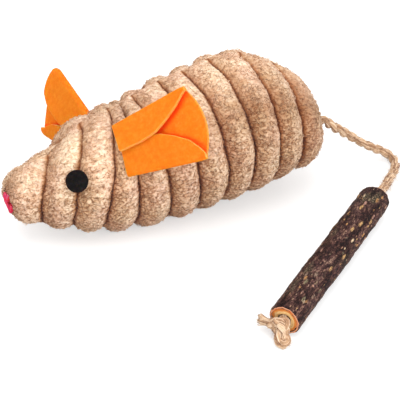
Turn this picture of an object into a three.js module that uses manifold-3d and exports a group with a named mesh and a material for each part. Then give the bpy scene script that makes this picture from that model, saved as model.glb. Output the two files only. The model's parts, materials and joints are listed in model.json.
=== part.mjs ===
// A plush toy mouse for a cat. Its body is two panels of wide-wale plush over stuffing, with folded felt
// ears, felt eyes and a felt nose. Its tail is a twine that carries a drilled chew stick and ends in a knot.
// Millimetres, +Z up. The nose points to -X, the mouse's left side to -Y, and the belly rests on z = 0.

import * as THREE from "three";
import { mergeVertices } from "three/addons/utils/BufferGeometryUtils.js";
import Module from "manifold-3d";

const wasm = await Module();
wasm.setup();

// Fits

const seatGap = 0.3; // between two pieces that touch
const cutOverrun = 6; // how far a cutter runs past what it cuts
const meshGrain = 1e-4; // closer points than this are one point

// Body: sections stand in the grooves between the wales, with the nose tip first and the rear tip last

const bodyLength = 116.6;
const noseReach = 62.9; // from the origin forward to the nose tip
const bodyRadius = 23.3; // in the grooves, where the body is fattest
const waleHeight = 2; // a wale's crest over its grooves
const waleFadeRadius = 8; // the wales flatten where the body is thinner than this
const plushThickness = 2; // backing cloth and pile, in a groove
const rollHeight = 20; // height of the line that the body lies rolled about
const bodyRoll = 15; // degrees that the back leans to the mouse's right
const belly = 0; // height of the floor that flattens the belly

const alongShares = [0.002, 0.124, 0.22, 0.295, 0.36, 0.429, 0.511, 0.586, 0.663, 0.752, 0.853, 0.978];
const axisShares = [0.822, 0.734, 0.856, 0.873, 0.859, 0.913, 1.003, 1.074, 1.146, 1.175, 1.088, 0.9];
const radiusShares = [0.426, 0.426, 0.69, 0.801, 0.824, 0.869, 0.91, 0.935, 0.967, 0.961, 0.809, 0.809];
const leans = [-14.5, -14.5, -13.6, -12.7, -3, 7.1, 7.1, 7, 6.4, 5.3, 5.7, 5.7]; // degrees, back to the rear
const waleCount = leans.length - 1;
// How far a section's sides sweep towards the nose, in shares of its own radius
const sweepShares = [0.32, 0.32, 0.24, 0.08, 0.04, -0.02, -0.05, -0.11, -0.125, -0.09, -0.03, -0.03];
// Depth of a section's lower half, in shares of its own radius
const sagShares = [1.03, 1.03, 1.03, 1.06, 1.07, 1.07, 1.07, 1.07, 1.04, 0.98, 0.94, 0.94];
const noseDomeShare = 0.818; // power of an end's round: a half is a plain ellipse, and one is nearly a cone
const rearDomeShare = 0.955;
const ridgeShare = 0.6; // power of a wale's round crest: one is a plain sine
const tipShare = 0.04; // of a wale, the first ring after a tip

const skinSteps = 6; // rings to a wale
const skinSides = 32;
const liningSteps = 2;
const liningSides = 20;

// Felt eyes and nose

const eyeRadius = 3.95;
const eyeThickness = 1.2;
const eyePlace = 2.02; // in wales from the nose
const eyeAngle = 80; // degrees down from the back seam
const noseRadius = 3.7;
const noseThickness = 1.1;
const noseDrop = 3.3; // of its middle below the nose tip
const noseAside = 2; // of its middle towards the mouse's left
const discSides = 24;

// Felt ears: each is one piece of felt with both long sides folded in over its middle

const feltThickness = 1.2;
const foldGap = 0.3; // between the layers at a fold
const earLength = 26.7; // from the sewn base to the outer corners
const earBaseWidth = 16.8;
const earTipWidth = 23;
const earTipBulge = 3; // of the round outer edge past its corners
const earTipSteps = 10;
const earSkinStep = 12; // degrees between the poses that clear the plush
const foldSides = 10;

const leftEar = {
  name: "ear_left",
  place: 3.3,
  angle: 60.1,
  lift: 0.5,
  out: new THREE.Vector3(0.803, -0.401, 0.442),
  up: new THREE.Vector3(-0.069, 0.673, 0.736),
  face: 1, // the folded sides lie on this side of out crossed with up
  swing: [-4, 70], // degrees, lifting
  upperOpening: 17, // degrees that a folded side stands off the middle
  lowerOpening: 5,
  // Each folded side's free edge, from the base out: shares of the ear's length and of its base width
  upperShares: [[0.02, 0.5], [0.3, 0.53], [0.5, 0.53], [0.68, 0.46], [0.84, 0.34], [0.95, 0.17], [1, 0.03]],
  lowerShares: [[0.02, 0.56], [0.3, 0.58], [0.5, 0.59], [0.68, 0.5], [0.84, 0.38], [0.95, 0.18], [1, 0.03]],
};
const rightEar = {
  name: "ear_right",
  place: 2.88,
  angle: -67.7,
  lift: 0.75,
  out: new THREE.Vector3(-0.244, 0.966, 0.088),
  up: new THREE.Vector3(0.317, -0.007, 0.948),
  face: -1,
  swing: [-42, 42],
  upperOpening: 17,
  lowerOpening: 5,
  upperShares: [[0.02, 0.6], [0.3, 0.62], [0.5, 0.66], [0.68, 0.66], [0.84, 0.64], [0.95, 0.6], [1, 0.5]],
  lowerShares: [[0.02, 0.42], [0.3, 0.38], [0.5, 0.32], [0.68, 0.26], [0.84, 0.19], [0.95, 0.1], [1, 0.03]],
};

// Chew stick: a cut twig with its bark, drilled along its middle

const stickLength = 71.3;
const stickTop = new THREE.Vector2(59.7, -31.4); // middle of the end that faces the body
const stickHeading = 218; // degrees from +X, from that end to the knot's end
const stickTopRadius = 5.45;
const stickEndRadius = 5.05;
const barkThickness = 0.9;
const stickBoreRadius = 2.5;
const barkBumpShare = 0.03; // of the radius
const barkWaves = [[2, 5], [3, -9], [1, 14]]; // each one's bumps in a turn, and radians along the stick
const stickSides = 20;
const stickRings = 10;
const boreSides = 12;

// Twine: the tail, its anchor knot inside the body and its end knot under the stick

const twineRadius = 1.5;
const twineSides = 8;
const twineSteps = 64;
const tailStandoff = 1.8; // of the tail's pivot behind the rear tip
const tailRise = 0.4; // of the tail's pivot above the rear tip
const knotRadius = 3.9; // across the knot's loops
const knotDepth = 2.4; // half of its thickness along the twine
const knotPieces = 4; // that the knot's loop is made of
const knotSteps = 8; // of each of them
const bightTurn = 43; // degrees from the stick's line, towards the mouse's left
const bightReach = 4.8; // of the folded twine past the knot's middle
const bightSpacing = 0.7; // of its two strands from its middle line
const bightRadius = 1.4;
// Reach and spread of each strand of the bight
const bightShares = [[0, 1], [0.45, 1.05], [0.75, 1], [0.93, 0.65], [1, 0], [0.97, -0.35]];
const frayLength = 7.5;
const frayRadius = 1.7; // at its open end
const straightLead = 6; // of the tail in line with the stick before it bends

// The tail's route from its pivot to the straight lead, chosen by hand
const tailRoute = [
  [54.7, 0.3, 21.4],
  [58.5, 0.3, 18],
  [62.9, 0.2, 15],
  [67.4, -0.2, 11.8],
  [71.7, -1.1, 8.6],
  [75.9, -2.1, 6.2],
  [80, -2.9, 4.2],
  [82.6, -4.6, 2.6],
  [82.6, -8.2, 1.8],
  [79.1, -13.2, 1.9],
  [73, -19.4, 3],
  [68.2, -24.3, 4.5],
];

// Materials

const cloth = (color, roughness) => new THREE.MeshStandardMaterial({ color, roughness, metalness: 0 });
const beigePlush = cloth(0xdcb98d, 0.95);
const whiteFilling = cloth(0xefece4, 0.95);
const orangeFelt = cloth(0xff8a1e, 0.95);
const blackFelt = cloth(0x141214, 0.95);
const pinkFelt = cloth(0xe83258, 0.95);
const juteTwine = cloth(0xc39d70, 0.9);
const darkBark = cloth(0x3d2e2f, 0.85);
const cutWood = cloth(0xd09a52, 0.7);

// Solids from geometries, and back

function solidOf(geometry) {
  const bare = geometry.clone();
  bare.deleteAttribute("normal");
  bare.deleteAttribute("uv");
  const merged = mergeVertices(bare, meshGrain);
  return new wasm.Manifold(new wasm.Mesh({
    numProp: 3,
    vertProperties: merged.getAttribute("position").array,
    triVerts: new Uint32Array(merged.index.array),
  }));
}

function meshOf(name, solid, material) {
  const { numProp, vertProperties, triVerts } = solid.getMesh();
  const geometry = new THREE.BufferGeometry();
  geometry.setAttribute("position", new THREE.BufferAttribute(vertProperties, numProp));
  geometry.setIndex(new THREE.BufferAttribute(triVerts, 1));
  geometry.computeVertexNormals();
  const mesh = new THREE.Mesh(geometry, material);
  mesh.name = name;
  return mesh;
}

function joined(solids) {
  return solids.reduce((whole, solid) => whole.add(solid));
}

// A closed skin over rings of points. A ring of one point is a tip, and an open end gets a flat cap.
function loft(rings) {
  const points = [];
  const faces = [];
  const starts = rings.map((ring) => {
    points.push(...ring);
    return points.length - ring.length;
  });
  const cap = (row, facesBack) => {
    const ring = rings[row];
    const sum = ring.reduce((total, point) => total.add(point), new THREE.Vector3());
    points.push(sum.divideScalar(ring.length));
    ring.forEach((_, i) => {
      const a = starts[row] + i;
      const b = starts[row] + ((i + 1) % ring.length);
      faces.push(...(facesBack ? [points.length - 1, b, a] : [points.length - 1, a, b]));
    });
  };
  for (let row = 0; row + 1 < rings.length; row += 1) {
    const near = rings[row].length;
    const far = rings[row + 1].length;
    const sides = Math.max(near, far);
    for (let i = 0; i < sides; i += 1) {
      const j = (i + 1) % sides;
      const a = starts[row] + (i % near);
      const b = starts[row] + (j % near);
      const c = starts[row + 1] + (j % far);
      const d = starts[row + 1] + (i % far);
      if (near > 1) faces.push(a, b, c);
      if (far > 1) faces.push(a, c, d);
    }
  }
  if (rings[0].length > 1) cap(0, true);
  if (rings.at(-1).length > 1) cap(rings.length - 1, false);
  const geometry = new THREE.BufferGeometry().setFromPoints(points);
  geometry.setIndex(faces);
  return geometry;
}

function circle(radius, sides, at) {
  return Array.from({ length: sides }, (_, i) => {
    const turn = (i / sides) * 2 * Math.PI;
    const reach = typeof radius === "function" ? radius(turn) : radius;
    return at.clone().add(new THREE.Vector3(reach * Math.cos(turn), reach * Math.sin(turn), 0));
  });
}

// A round strand along points, with flat ends square to it.
function strand(points, radius, steps, sides = twineSides) {
  const path = new THREE.CatmullRomCurve3(points, false, "centripetal");
  const round = circle(radius, sides, new THREE.Vector3());
  const section = new THREE.Shape(round.map((point) => new THREE.Vector2(point.x, point.y)));
  return new THREE.ExtrudeGeometry(section, { steps, extrudePath: path, bevelEnabled: false });
}

// A matrix that stands a piece on a point, with its own X and Y along two directions.
function standing(point, along, across) {
  const x = along.clone().normalize();
  const z = x.clone().cross(across).normalize();
  const y = z.clone().cross(x);
  return new THREE.Matrix4().makeBasis(x, y, z).setPosition(point);
}

// Body skin

const backAxis = new THREE.Vector3(1, 0, 0);
const upAxis = new THREE.Vector3(0, 0, 1);
const rollCentre = new THREE.Vector3(0, 0, rollHeight);
const roll = THREE.MathUtils.degToRad(bodyRoll);

const sections = new THREE.CubicInterpolant(
  alongShares.map((_, wale) => wale),
  alongShares.flatMap((share, wale) => [
    share * bodyLength - noseReach,
    axisShares[wale] * bodyRadius,
    THREE.MathUtils.degToRad(leans[wale]),
    radiusShares[wale] * bodyRadius,
    sweepShares[wale],
    sagShares[wale],
  ]),
  6,
);

function rolled(point) {
  return point.sub(rollCentre).applyAxisAngle(backAxis, -roll).add(rollCentre);
}

// The point of the groove surface at a place in wales from the nose and an angle down from the back seam.
function groovePoint(place, angle) {
  const [x, z, lean, radius, sweep, sag] = sections.evaluate(place);
  const fromTip = Math.min(place, waleCount - place, 1);
  const dome = place < waleCount / 2 ? noseDomeShare : rearDomeShare;
  const reach = radius * (1 - (1 - fromTip) ** 2) ** dome;
  const up = Math.cos(angle) * reach * (Math.cos(angle) < 0 ? sag : 1);
  const left = Math.sin(angle) * reach;
  const back = x - Math.sin(lean) * up - sweep * Math.abs(left);
  return rolled(new THREE.Vector3(back, -left, z + Math.cos(lean) * up));
}

function grooveNormal(place, angle) {
  const step = tipShare / 2;
  const at = THREE.MathUtils.clamp(place, step, waleCount - step);
  if (at !== place) return backAxis.clone().multiplyScalar(place < 1 ? -1 : 1);
  const along = groovePoint(at + step, angle).sub(groovePoint(at - step, angle));
  const around = groovePoint(at, angle + step).sub(groovePoint(at, angle - step));
  return around.cross(along).normalize();
}

function ridge(place, phase) {
  const reach = groovePoint(place, 0).distanceTo(groovePoint(place, Math.PI)) / 2;
  const fade = Math.min(1, reach / waleFadeRadius);
  return waleHeight * fade * Math.abs(Math.sin(Math.PI * (place - phase))) ** ridgeShare;
}

function liftedPoint(place, angle, lift) {
  return groovePoint(place, angle).addScaledVector(grooveNormal(place, angle), lift);
}

function skin(liftAt, steps, sides) {
  const places = [0, tipShare];
  for (let i = 1; i < waleCount * steps; i += 1) places.push(i / steps);
  places.push(waleCount - tipShare, waleCount);
  return loft(places.map((place) => {
    const lift = liftAt(place);
    if (place === 0 || place === waleCount) return [liftedPoint(place, 0, lift)];
    return Array.from({ length: sides }, (_, i) => liftedPoint(place, (i / sides) * 2 * Math.PI, lift));
  }));
}

// The panels' wales don't meet at the seams, because the right one runs half a wale late.
const sides = {
  left: { phase: 0, sign: -1 },
  right: { phase: 0.5, sign: 1 },
};

function plushSkin(side, lift) {
  return skin((place) => ridge(place, side.phase) + lift, skinSteps, skinSides);
}

function box(length, width, height, middle) {
  const geometry = new THREE.BoxGeometry(length, width, height);
  return geometry.translate(middle.x, middle.y, middle.z);
}

const roomy = 2 * bodyLength; // of the boxes that halve the body and level its belly
const floorCut = solidOf(box(roomy, roomy, cutOverrun, new THREE.Vector3(0, 0, belly - cutOverrun / 2)));

function halfOf(side) {
  const reach = side.sign * (roomy + seatGap) / 2;
  const half = box(roomy, roomy, roomy, new THREE.Vector3(0, reach, rollHeight));
  const turn = new THREE.Matrix4().makeRotationAxis(backAxis, -roll);
  half.applyMatrix4(new THREE.Matrix4().makeTranslation(rollCentre.clone().negate()));
  return solidOf(half.applyMatrix4(turn).applyMatrix4(new THREE.Matrix4().makeTranslation(rollCentre)));
}

// Twine

const rearTip = groovePoint(waleCount, 0);
const tailPivot = rearTip.clone().add(new THREE.Vector3(tailStandoff, 0, tailRise));
const stickWay = backAxis.clone().applyAxisAngle(upAxis, THREE.MathUtils.degToRad(stickHeading));
const stickFoot = new THREE.Vector3(stickTop.x, stickTop.y, 0).addScaledVector(stickWay, stickLength);
const restHeight = (radius) => radius * (1 + barkBumpShare);
const stickStart = new THREE.Vector3(stickTop.x, stickTop.y, restHeight(stickTopRadius));
const stickEnd = new THREE.Vector3(stickFoot.x, stickFoot.y, restHeight(stickEndRadius));
const stickAxis = stickEnd.clone().sub(stickStart).normalize();
const anchorInset = plushThickness + 2 * seatGap + knotRadius;
const anchorMiddle = rearTip.clone().add(new THREE.Vector3(-anchorInset, 0, tailRise));

// An overhand knot drawn tight: a strand round a trefoil about Z, in pieces that fuse where they cross.
function overhandKnot() {
  const strandRadius = knotDepth / 2 + seatGap;
  const size = (knotRadius - strandRadius) / 3; // because the trefoil below reaches three of them
  const height = knotDepth - strandRadius;
  const pointAt = (turn) => new THREE.Vector3(
    size * (Math.sin(turn) + 2 * Math.sin(2 * turn)),
    size * (Math.cos(turn) - 2 * Math.cos(2 * turn)),
    -height * Math.sin(3 * turn),
  );
  return Array.from({ length: knotPieces }, (_, piece) => {
    const turns = Array.from({ length: knotSteps + 2 }, (_, i) => (piece + i / knotSteps) / knotPieces);
    return strand(turns.map((turn) => pointAt(turn * 2 * Math.PI)), strandRadius, knotSteps);
  });
}

function tailCord() {
  const lead = stickStart.clone().addScaledVector(stickAxis, -straightLead);
  const last = stickEnd.clone();
  const bends = tailRoute.map((point) => new THREE.Vector3(...point));
  const route = [tailPivot, ...bends, lead, stickStart, last];
  const ball = new THREE.SphereGeometry(twineRadius, 2 * twineSides, twineSides);
  ball.translate(tailPivot.x, tailPivot.y, tailPivot.z);
  return joined([solidOf(strand(route, twineRadius, twineSteps)), solidOf(ball)]);
}

function anchorKnot() {
  const place = standing(anchorMiddle, upAxis, new THREE.Vector3(0, 1, 0));
  const stubEnd = tailPivot.clone().addScaledVector(backAxis, -(twineRadius + seatGap));
  const stub = strand([anchorMiddle, stubEnd], twineRadius, 1);
  return joined([...overhandKnot().map((part) => solidOf(part.applyMatrix4(place))), solidOf(stub)]);
}

function endKnot() {
  const middle = stickEnd.clone().addScaledVector(stickAxis, seatGap + knotDepth);
  const sideways = upAxis.clone().cross(stickAxis).normalize();
  const loops = overhandKnot().map((part) => part.applyMatrix4(standing(middle, sideways, upAxis)));
  const floorDrop = middle.z - bightRadius - seatGap;
  const bightWay = stickWay.clone().applyAxisAngle(upAxis, THREE.MathUtils.degToRad(bightTurn));
  const bightSide = upAxis.clone().cross(bightWay);
  const bight = [-1, 1].map((sign) => strand(bightShares.map(([reach, spread]) => {
    const point = middle.clone().addScaledVector(bightWay, reach * bightReach);
    point.addScaledVector(bightSide, sign * spread * bightSpacing);
    return point.setZ(middle.z - floorDrop * reach);
  }), bightRadius, knotSteps));
  const fray = new THREE.CylinderGeometry(frayRadius, bightRadius, frayLength, twineSides);
  const frayWay = sideways.clone().negate();
  fray.translate(0, frayLength / 2, 0);
  fray.applyMatrix4(standing(middle, upAxis, frayWay));
  return joined([...loops, ...bight, fray].map(solidOf));
}

// Chew stick

function taper(along) {
  return THREE.MathUtils.lerp(stickTopRadius, stickEndRadius, along);
}

function twigRadius(along, turn) {
  const plain = taper(along);
  const waves = barkWaves.reduce((sum, [bumps, drift]) => sum + Math.sin(bumps * turn + drift * along), 0);
  return plain * (1 + (barkBumpShare * waves) / barkWaves.length);
}

function twig(radiusAt, overrun) {
  const rings = Array.from({ length: stickRings + 1 }, (_, i) => {
    const along = i / stickRings;
    const height = THREE.MathUtils.lerp(-overrun, stickLength + overrun, along);
    return circle((turn) => radiusAt(along, turn), stickSides, new THREE.Vector3(0, 0, height));
  });
  return solidOf(loft(rings));
}

const stickSide = upAxis.clone().cross(stickAxis).normalize();
const stickPlace = standing(stickStart, stickSide, stickAxis.clone().cross(stickSide));

function stickBark() {
  const core = twig((along) => taper(along) - barkThickness, cutOverrun);
  return twig(twigRadius, 0).subtract(core);
}

function stickWood() {
  const inset = barkThickness + seatGap;
  const core = twig((along) => taper(along) - inset, 0);
  const boreLength = stickLength + 2 * cutOverrun;
  const bore = new THREE.CylinderGeometry(stickBoreRadius, stickBoreRadius, boreLength, boreSides);
  bore.rotateX(Math.PI / 2).translate(0, 0, stickLength / 2);
  return core.subtract(solidOf(bore));
}

// Felt

function extruded(outline, thickness, height) {
  const shape = new THREE.Shape(outline);
  return new THREE.ExtrudeGeometry(shape, { depth: thickness, bevelEnabled: false }).translate(0, 0, height);
}

// One folded side, hinged on the line from the base corner to the outer corner.
function foldedSide(shares, opening, sign) {
  const corner = new THREE.Vector2(0, (sign * earBaseWidth) / 2);
  const outer = new THREE.Vector2(earLength, (sign * earTipWidth) / 2);
  const side = outer.clone().sub(corner);
  const reach = -sign * earBaseWidth;
  const edge = shares.map(([out, width]) => new THREE.Vector2(out * side.length(), width * reach));
  const outline = [new THREE.Vector2(0, 0), new THREE.Vector2(side.length(), 0), ...edge.reverse()];
  const sheet = extruded(sign < 0 ? outline : outline.reverse(), feltThickness, 0);
  sheet.rotateX(-sign * THREE.MathUtils.degToRad(opening)).translate(0, 0, feltThickness + foldGap);
  const foldRadius = feltThickness + foldGap / 2;
  const fold = new THREE.CylinderGeometry(foldRadius, foldRadius, side.length(), foldSides);
  fold.rotateZ(Math.PI / 2).translate(side.length() / 2, 0, foldRadius);
  const turn = new THREE.Matrix4().makeRotationZ(side.angle());
  return [sheet, fold].map((g) => solidOf(g.applyMatrix4(turn).translate(corner.x, corner.y, 0)));
}

function feltEar(ear, place, plush) {
  const outline = [new THREE.Vector2(0, -earBaseWidth / 2)];
  for (let i = 0; i <= earTipSteps; i += 1) {
    const across = (2 * i) / earTipSteps - 1;
    outline.push(new THREE.Vector2(earLength + earTipBulge * (1 - across ** 2), (across * earTipWidth) / 2));
  }
  outline.push(new THREE.Vector2(0, earBaseWidth / 2));
  const parts = [
    solidOf(extruded(outline, feltThickness, 0)),
    ...foldedSide(ear.upperShares, ear.upperOpening, ear.face),
    ...foldedSide(ear.lowerShares, ear.lowerOpening, -ear.face),
  ];
  // The hinge line is the ear's own Y, in the middle of the base's felt, and the felt clears the plush
  // in every pose between the limits.
  let felt = joined(parts).translate([0, 0, -feltThickness / 2]);
  const [least, most] = ear.swing;
  const poses = Math.ceil((most - least) / earSkinStep);
  const toEar = place.clone().invert();
  for (let i = 0; i <= poses; i += 1) {
    const angle = THREE.MathUtils.degToRad(THREE.MathUtils.lerp(least, most, i / poses));
    const back = new THREE.Matrix4().makeRotationY(angle);
    felt = felt.subtract(solidOf(plush.clone().applyMatrix4(toEar).applyMatrix4(back)));
  }
  return felt.decompose().reduce((large, piece) => (piece.volume() > large.volume() ? piece : large));
}

function feltDisc(point, normal, radius, thickness, plushes) {
  const disc = new THREE.CylinderGeometry(radius, radius, thickness, discSides);
  disc.applyMatrix4(new THREE.Matrix4().makeRotationFromQuaternion(
    new THREE.Quaternion().setFromUnitVectors(new THREE.Vector3(0, 1, 0), normal),
  ));
  disc.translate(point.x, point.y, point.z);
  return plushes.reduce((felt, plush) => felt.subtract(solidOf(plush)), solidOf(disc));
}

// Assembly

const toy = new THREE.Group();
const clearSkins = { left: plushSkin(sides.left, seatGap), right: plushSkin(sides.right, seatGap) };
const lining = solidOf(skin(() => -plushThickness, liningSteps, liningSides));
const tailHole = solidOf(strand(
  [anchorMiddle, anchorMiddle.clone().addScaledVector(backAxis, knotRadius + cutOverrun)],
  twineRadius + seatGap, 1, boreSides,
));

for (const [name, side] of Object.entries(sides)) {
  const whole = solidOf(plushSkin(side, 0));
  const panel = whole.subtract(lining).intersect(halfOf(side)).subtract(floorCut).subtract(tailHole);
  toy.add(meshOf(`plush_panel_${name}`, panel, beigePlush));
}

const knotPocket = solidOf(strand(
  [-(knotDepth + seatGap), cutOverrun].map((along) => anchorMiddle.clone().addScaledVector(backAxis, along)),
  knotRadius + seatGap, 1, boreSides,
));
const fill = solidOf(skin(() => -(plushThickness + seatGap), liningSteps, liningSides));
toy.add(meshOf("stuffing", fill.subtract(knotPocket), whiteFilling));
toy.add(meshOf("tail_anchor_knot", anchorKnot(), juteTwine));

for (const [name, side] of Object.entries(sides)) {
  const angle = -side.sign * THREE.MathUtils.degToRad(eyeAngle);
  const point = liftedPoint(eyePlace, angle, waleHeight + seatGap + eyeThickness / 2);
  const disc = feltDisc(point, grooveNormal(eyePlace, angle), eyeRadius, eyeThickness, [clearSkins[name]]);
  toy.add(meshOf(`eye_${name}`, disc, blackFelt));
}

// The nose is soft felt glued over the tip, so it follows the plush.
const nosePoint = groovePoint(0, 0).add(new THREE.Vector3(0, -noseAside, -noseDrop));
const noseLift = seatGap + noseThickness;
const noseFront = joined(Object.values(sides).map((side) => solidOf(plushSkin(side, noseLift))));
const nosePatch = feltDisc(nosePoint, backAxis, noseRadius, 2 * noseRadius, Object.values(clearSkins));
toy.add(meshOf("nose_patch", nosePatch.intersect(noseFront), pinkFelt));

for (const [ear, plush] of [[leftEar, clearSkins.left], [rightEar, clearSkins.right]]) {
  const angle = THREE.MathUtils.degToRad(ear.angle);
  const hinge = new THREE.Group();
  const place = standing(liftedPoint(ear.place, angle, ear.lift), ear.out, ear.up);
  if (ear.face < 0) place.multiply(new THREE.Matrix4().makeRotationX(Math.PI));
  hinge.applyMatrix4(place);
  hinge.add(meshOf(ear.name, feltEar(ear, place, plush), orangeFelt));
  toy.add(hinge);
}

const tail = new THREE.Group();
tail.add(meshOf("tail_cord", tailCord(), juteTwine));
tail.add(meshOf("end_knot", endKnot(), juteTwine));
toy.add(tail);

const stick = new THREE.Group();
stick.applyMatrix4(stickPlace);
stick.add(meshOf("stick_bark", stickBark(), darkBark));
stick.add(meshOf("stick_wood", stickWood(), cutWood));
toy.add(stick);

export default toy;
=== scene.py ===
# Plush toy mouse: wide-wale fleece body, folded felt ears, felt eyes and nose, and a jute tail with a
# drilled chew twig held by a knot. Blender 4.5, metres, nose to -X, tail to +X, the mouse's left to -Y.

import json
import math

import bpy
import numpy as np
from mathutils import Matrix, Vector, noise


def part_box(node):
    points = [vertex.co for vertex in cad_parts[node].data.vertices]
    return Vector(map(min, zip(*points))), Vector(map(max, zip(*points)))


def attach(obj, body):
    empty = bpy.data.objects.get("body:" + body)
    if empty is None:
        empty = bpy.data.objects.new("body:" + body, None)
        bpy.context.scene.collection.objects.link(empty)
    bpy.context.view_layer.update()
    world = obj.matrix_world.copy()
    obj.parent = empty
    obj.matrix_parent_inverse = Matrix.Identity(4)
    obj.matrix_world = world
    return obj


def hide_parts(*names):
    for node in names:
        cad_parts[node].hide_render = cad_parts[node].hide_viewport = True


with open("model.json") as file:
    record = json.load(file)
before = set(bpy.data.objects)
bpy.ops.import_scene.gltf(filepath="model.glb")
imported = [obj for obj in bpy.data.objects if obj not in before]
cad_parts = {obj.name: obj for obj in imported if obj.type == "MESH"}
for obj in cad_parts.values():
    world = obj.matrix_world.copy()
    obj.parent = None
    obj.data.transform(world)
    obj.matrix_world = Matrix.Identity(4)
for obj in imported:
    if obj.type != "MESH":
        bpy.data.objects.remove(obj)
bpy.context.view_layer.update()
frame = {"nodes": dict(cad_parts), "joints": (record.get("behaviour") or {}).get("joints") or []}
# Without a seed, noise_vector shifts with the clock and the crimp differs from run to run
noise.seed_set(1)
mm = 0.001
print("frame loaded:", len(frame["nodes"]), "nodes")


# Small tools

def srgb(text):
    parts = [int(text[i:i + 2], 16) / 255 for i in (1, 3, 5)]
    linear = [p / 12.92 if p <= 0.04045 else ((p + 0.055) / 1.055) ** 2.4 for p in parts]
    return (*linear, 1.0)


def feed(material, node, inputs):
    for name, value in inputs.items():
        if isinstance(value, bpy.types.NodeSocket):
            material.node_tree.links.new(value, node.inputs[name])
        else:
            node.inputs[name].default_value = value


def addNode(material, kind, inputs=None, **settings):
    node = material.node_tree.nodes.new(kind)
    for name, value in settings.items():
        setattr(node, name, value)
    feed(material, node, inputs or {})
    return node


def addRamp(material, source, stops, interpolation="LINEAR"):
    node = addNode(material, "ShaderNodeValToRGB", {"Fac": source})
    ramp = node.color_ramp
    ramp.interpolation = interpolation
    while len(ramp.elements) < len(stops):
        ramp.elements.new(0.5)
    for element, (place, colour) in zip(ramp.elements, stops):
        element.position = place
        element.color = srgb(colour)
    return node.outputs["Color"]


def addMath(material, operation, *values):
    return addNode(material, "ShaderNodeMath", dict(enumerate(values)), operation=operation).outputs[0]


def addVector(material, operation, *values, output="Vector"):
    node = addNode(material, "ShaderNodeVectorMath", dict(enumerate(values)), operation=operation)
    return node.outputs[output]


def addRange(material, value, low, high, toLow=0.0, toHigh=1.0):
    inputs = {"Value": value, "From Min": low, "From Max": high, "To Min": toLow, "To Max": toHigh}
    return addNode(material, "ShaderNodeMapRange", inputs).outputs["Result"]


def addNoise(material, place, sizeMm, detail, output="Fac", **more):
    inputs = {"Vector": place, "Scale": 1 / (sizeMm * mm), "Detail": detail, **more}
    return addNode(material, "ShaderNodeTexNoise", inputs).outputs[output]


def addVoronoi(material, place, sizeMm, feature, output):
    inputs = {"Vector": place, "Scale": 1 / (sizeMm * mm)}
    return addNode(material, "ShaderNodeTexVoronoi", inputs, feature=feature).outputs[output]


def addStretch(material, place, scale):
    return addNode(material, "ShaderNodeMapping", {"Vector": place, "Scale": scale}).outputs["Vector"]


def addMix(material, share, first, second, blend="MIX"):
    inputs = {"Factor": share, "A": first, "B": second}
    return addNode(material, "ShaderNodeMix", inputs, data_type="RGBA", blend_type=blend).outputs["Result"]


def multiply(material, first, second):
    return addMix(material, 1.0, first, second, "MULTIPLY")


def attributeOf(material, name):
    return addNode(material, "ShaderNodeAttribute", attribute_name=name).outputs["Fac"]


def placeIn(material):
    return addNode(material, "ShaderNodeTexCoord").outputs["Object"]


def newMaterial(name):
    material = bpy.data.materials.new(name)
    material.use_nodes = True
    return material, material.node_tree.nodes["Principled BSDF"]


def addBump(material, shader, height, depthMm, strength):
    inputs = {"Height": height, "Distance": depthMm * mm, "Strength": strength}
    bump = addNode(material, "ShaderNodeBump", inputs)
    feed(material, shader, {"Normal": bump.outputs["Normal"]})


def start():
    if bpy.context.object and bpy.context.object.mode != "OBJECT":
        bpy.ops.object.mode_set(mode="OBJECT")
    bpy.ops.object.select_all(action="DESELECT")


def only(piece):
    start()
    piece.select_set(True)
    bpy.context.view_layer.objects.active = piece


def named(name):
    piece = bpy.context.object
    piece.name = name
    piece.data.name = name
    return piece


def settle(piece):
    only(piece)
    bpy.ops.object.transform_apply(location=True, rotation=True, scale=True)
    return piece


def applyModifier(piece, kind, **settings):
    only(piece)
    modifier = piece.modifiers.new(kind.lower(), kind)
    for name, value in settings.items():
        setattr(modifier, name, value)
    bpy.ops.object.modifier_apply(modifier=modifier.name)


def mendMesh(piece, mergeMm=None):
    only(piece)
    bpy.ops.object.mode_set(mode="EDIT")
    bpy.ops.mesh.select_all(action="SELECT")
    if mergeMm:
        bpy.ops.mesh.remove_doubles(threshold=mergeMm * mm)
    bpy.ops.mesh.normals_make_consistent(inside=False)
    bpy.ops.object.mode_set(mode="OBJECT")


# Opens the piece in edit mode with the faces that pass the test selected
def editFaces(piece, test):
    only(piece)
    bpy.ops.object.mode_set(mode="EDIT")
    bpy.ops.mesh.select_all(action="DESELECT")
    bpy.ops.object.mode_set(mode="OBJECT")
    for polygon in piece.data.polygons:
        polygon.select = test(polygon)
    bpy.ops.object.mode_set(mode="EDIT")


def points(piece):
    found = np.empty(len(piece.data.vertices) * 3)
    piece.data.vertices.foreach_get("co", found)
    return found.reshape(-1, 3)


def normals(piece):
    found = np.empty(len(piece.data.vertices) * 3)
    piece.data.vertex_normals.foreach_get("vector", found)
    return found.reshape(-1, 3)


def setPoints(piece, places):
    piece.data.vertices.foreach_set("co", np.asarray(places).ravel())
    piece.data.update()


def keepOver(piece, heightMm):
    places = points(piece)
    places[:, 2] = np.maximum(places[:, 2], heightMm * mm)
    setPoints(piece, places)


def setValue(piece, name, values):
    layer = piece.data.attributes.get(name) or piece.data.attributes.new(name, "FLOAT", "POINT")
    layer.data.foreach_set("value", np.asarray(values, dtype=float))


def getValue(piece, name):
    found = np.empty(len(piece.data.vertices))
    piece.data.attributes[name].data.foreach_get("value", found)
    return found


def meshPiece(name, places, faces):
    data = bpy.data.meshes.new(name)
    data.from_pydata([tuple(p) for p in places], [], faces)
    data.validate()
    data.update()
    piece = bpy.data.objects.new(name, data)
    bpy.context.collection.objects.link(piece)
    return piece


def dress(piece, material, slot, body, *replaced):
    piece.data.materials.clear()
    piece.data.materials.append(material)
    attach(piece, body)
    if replaced:
        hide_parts(*replaced)
    return piece


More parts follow.
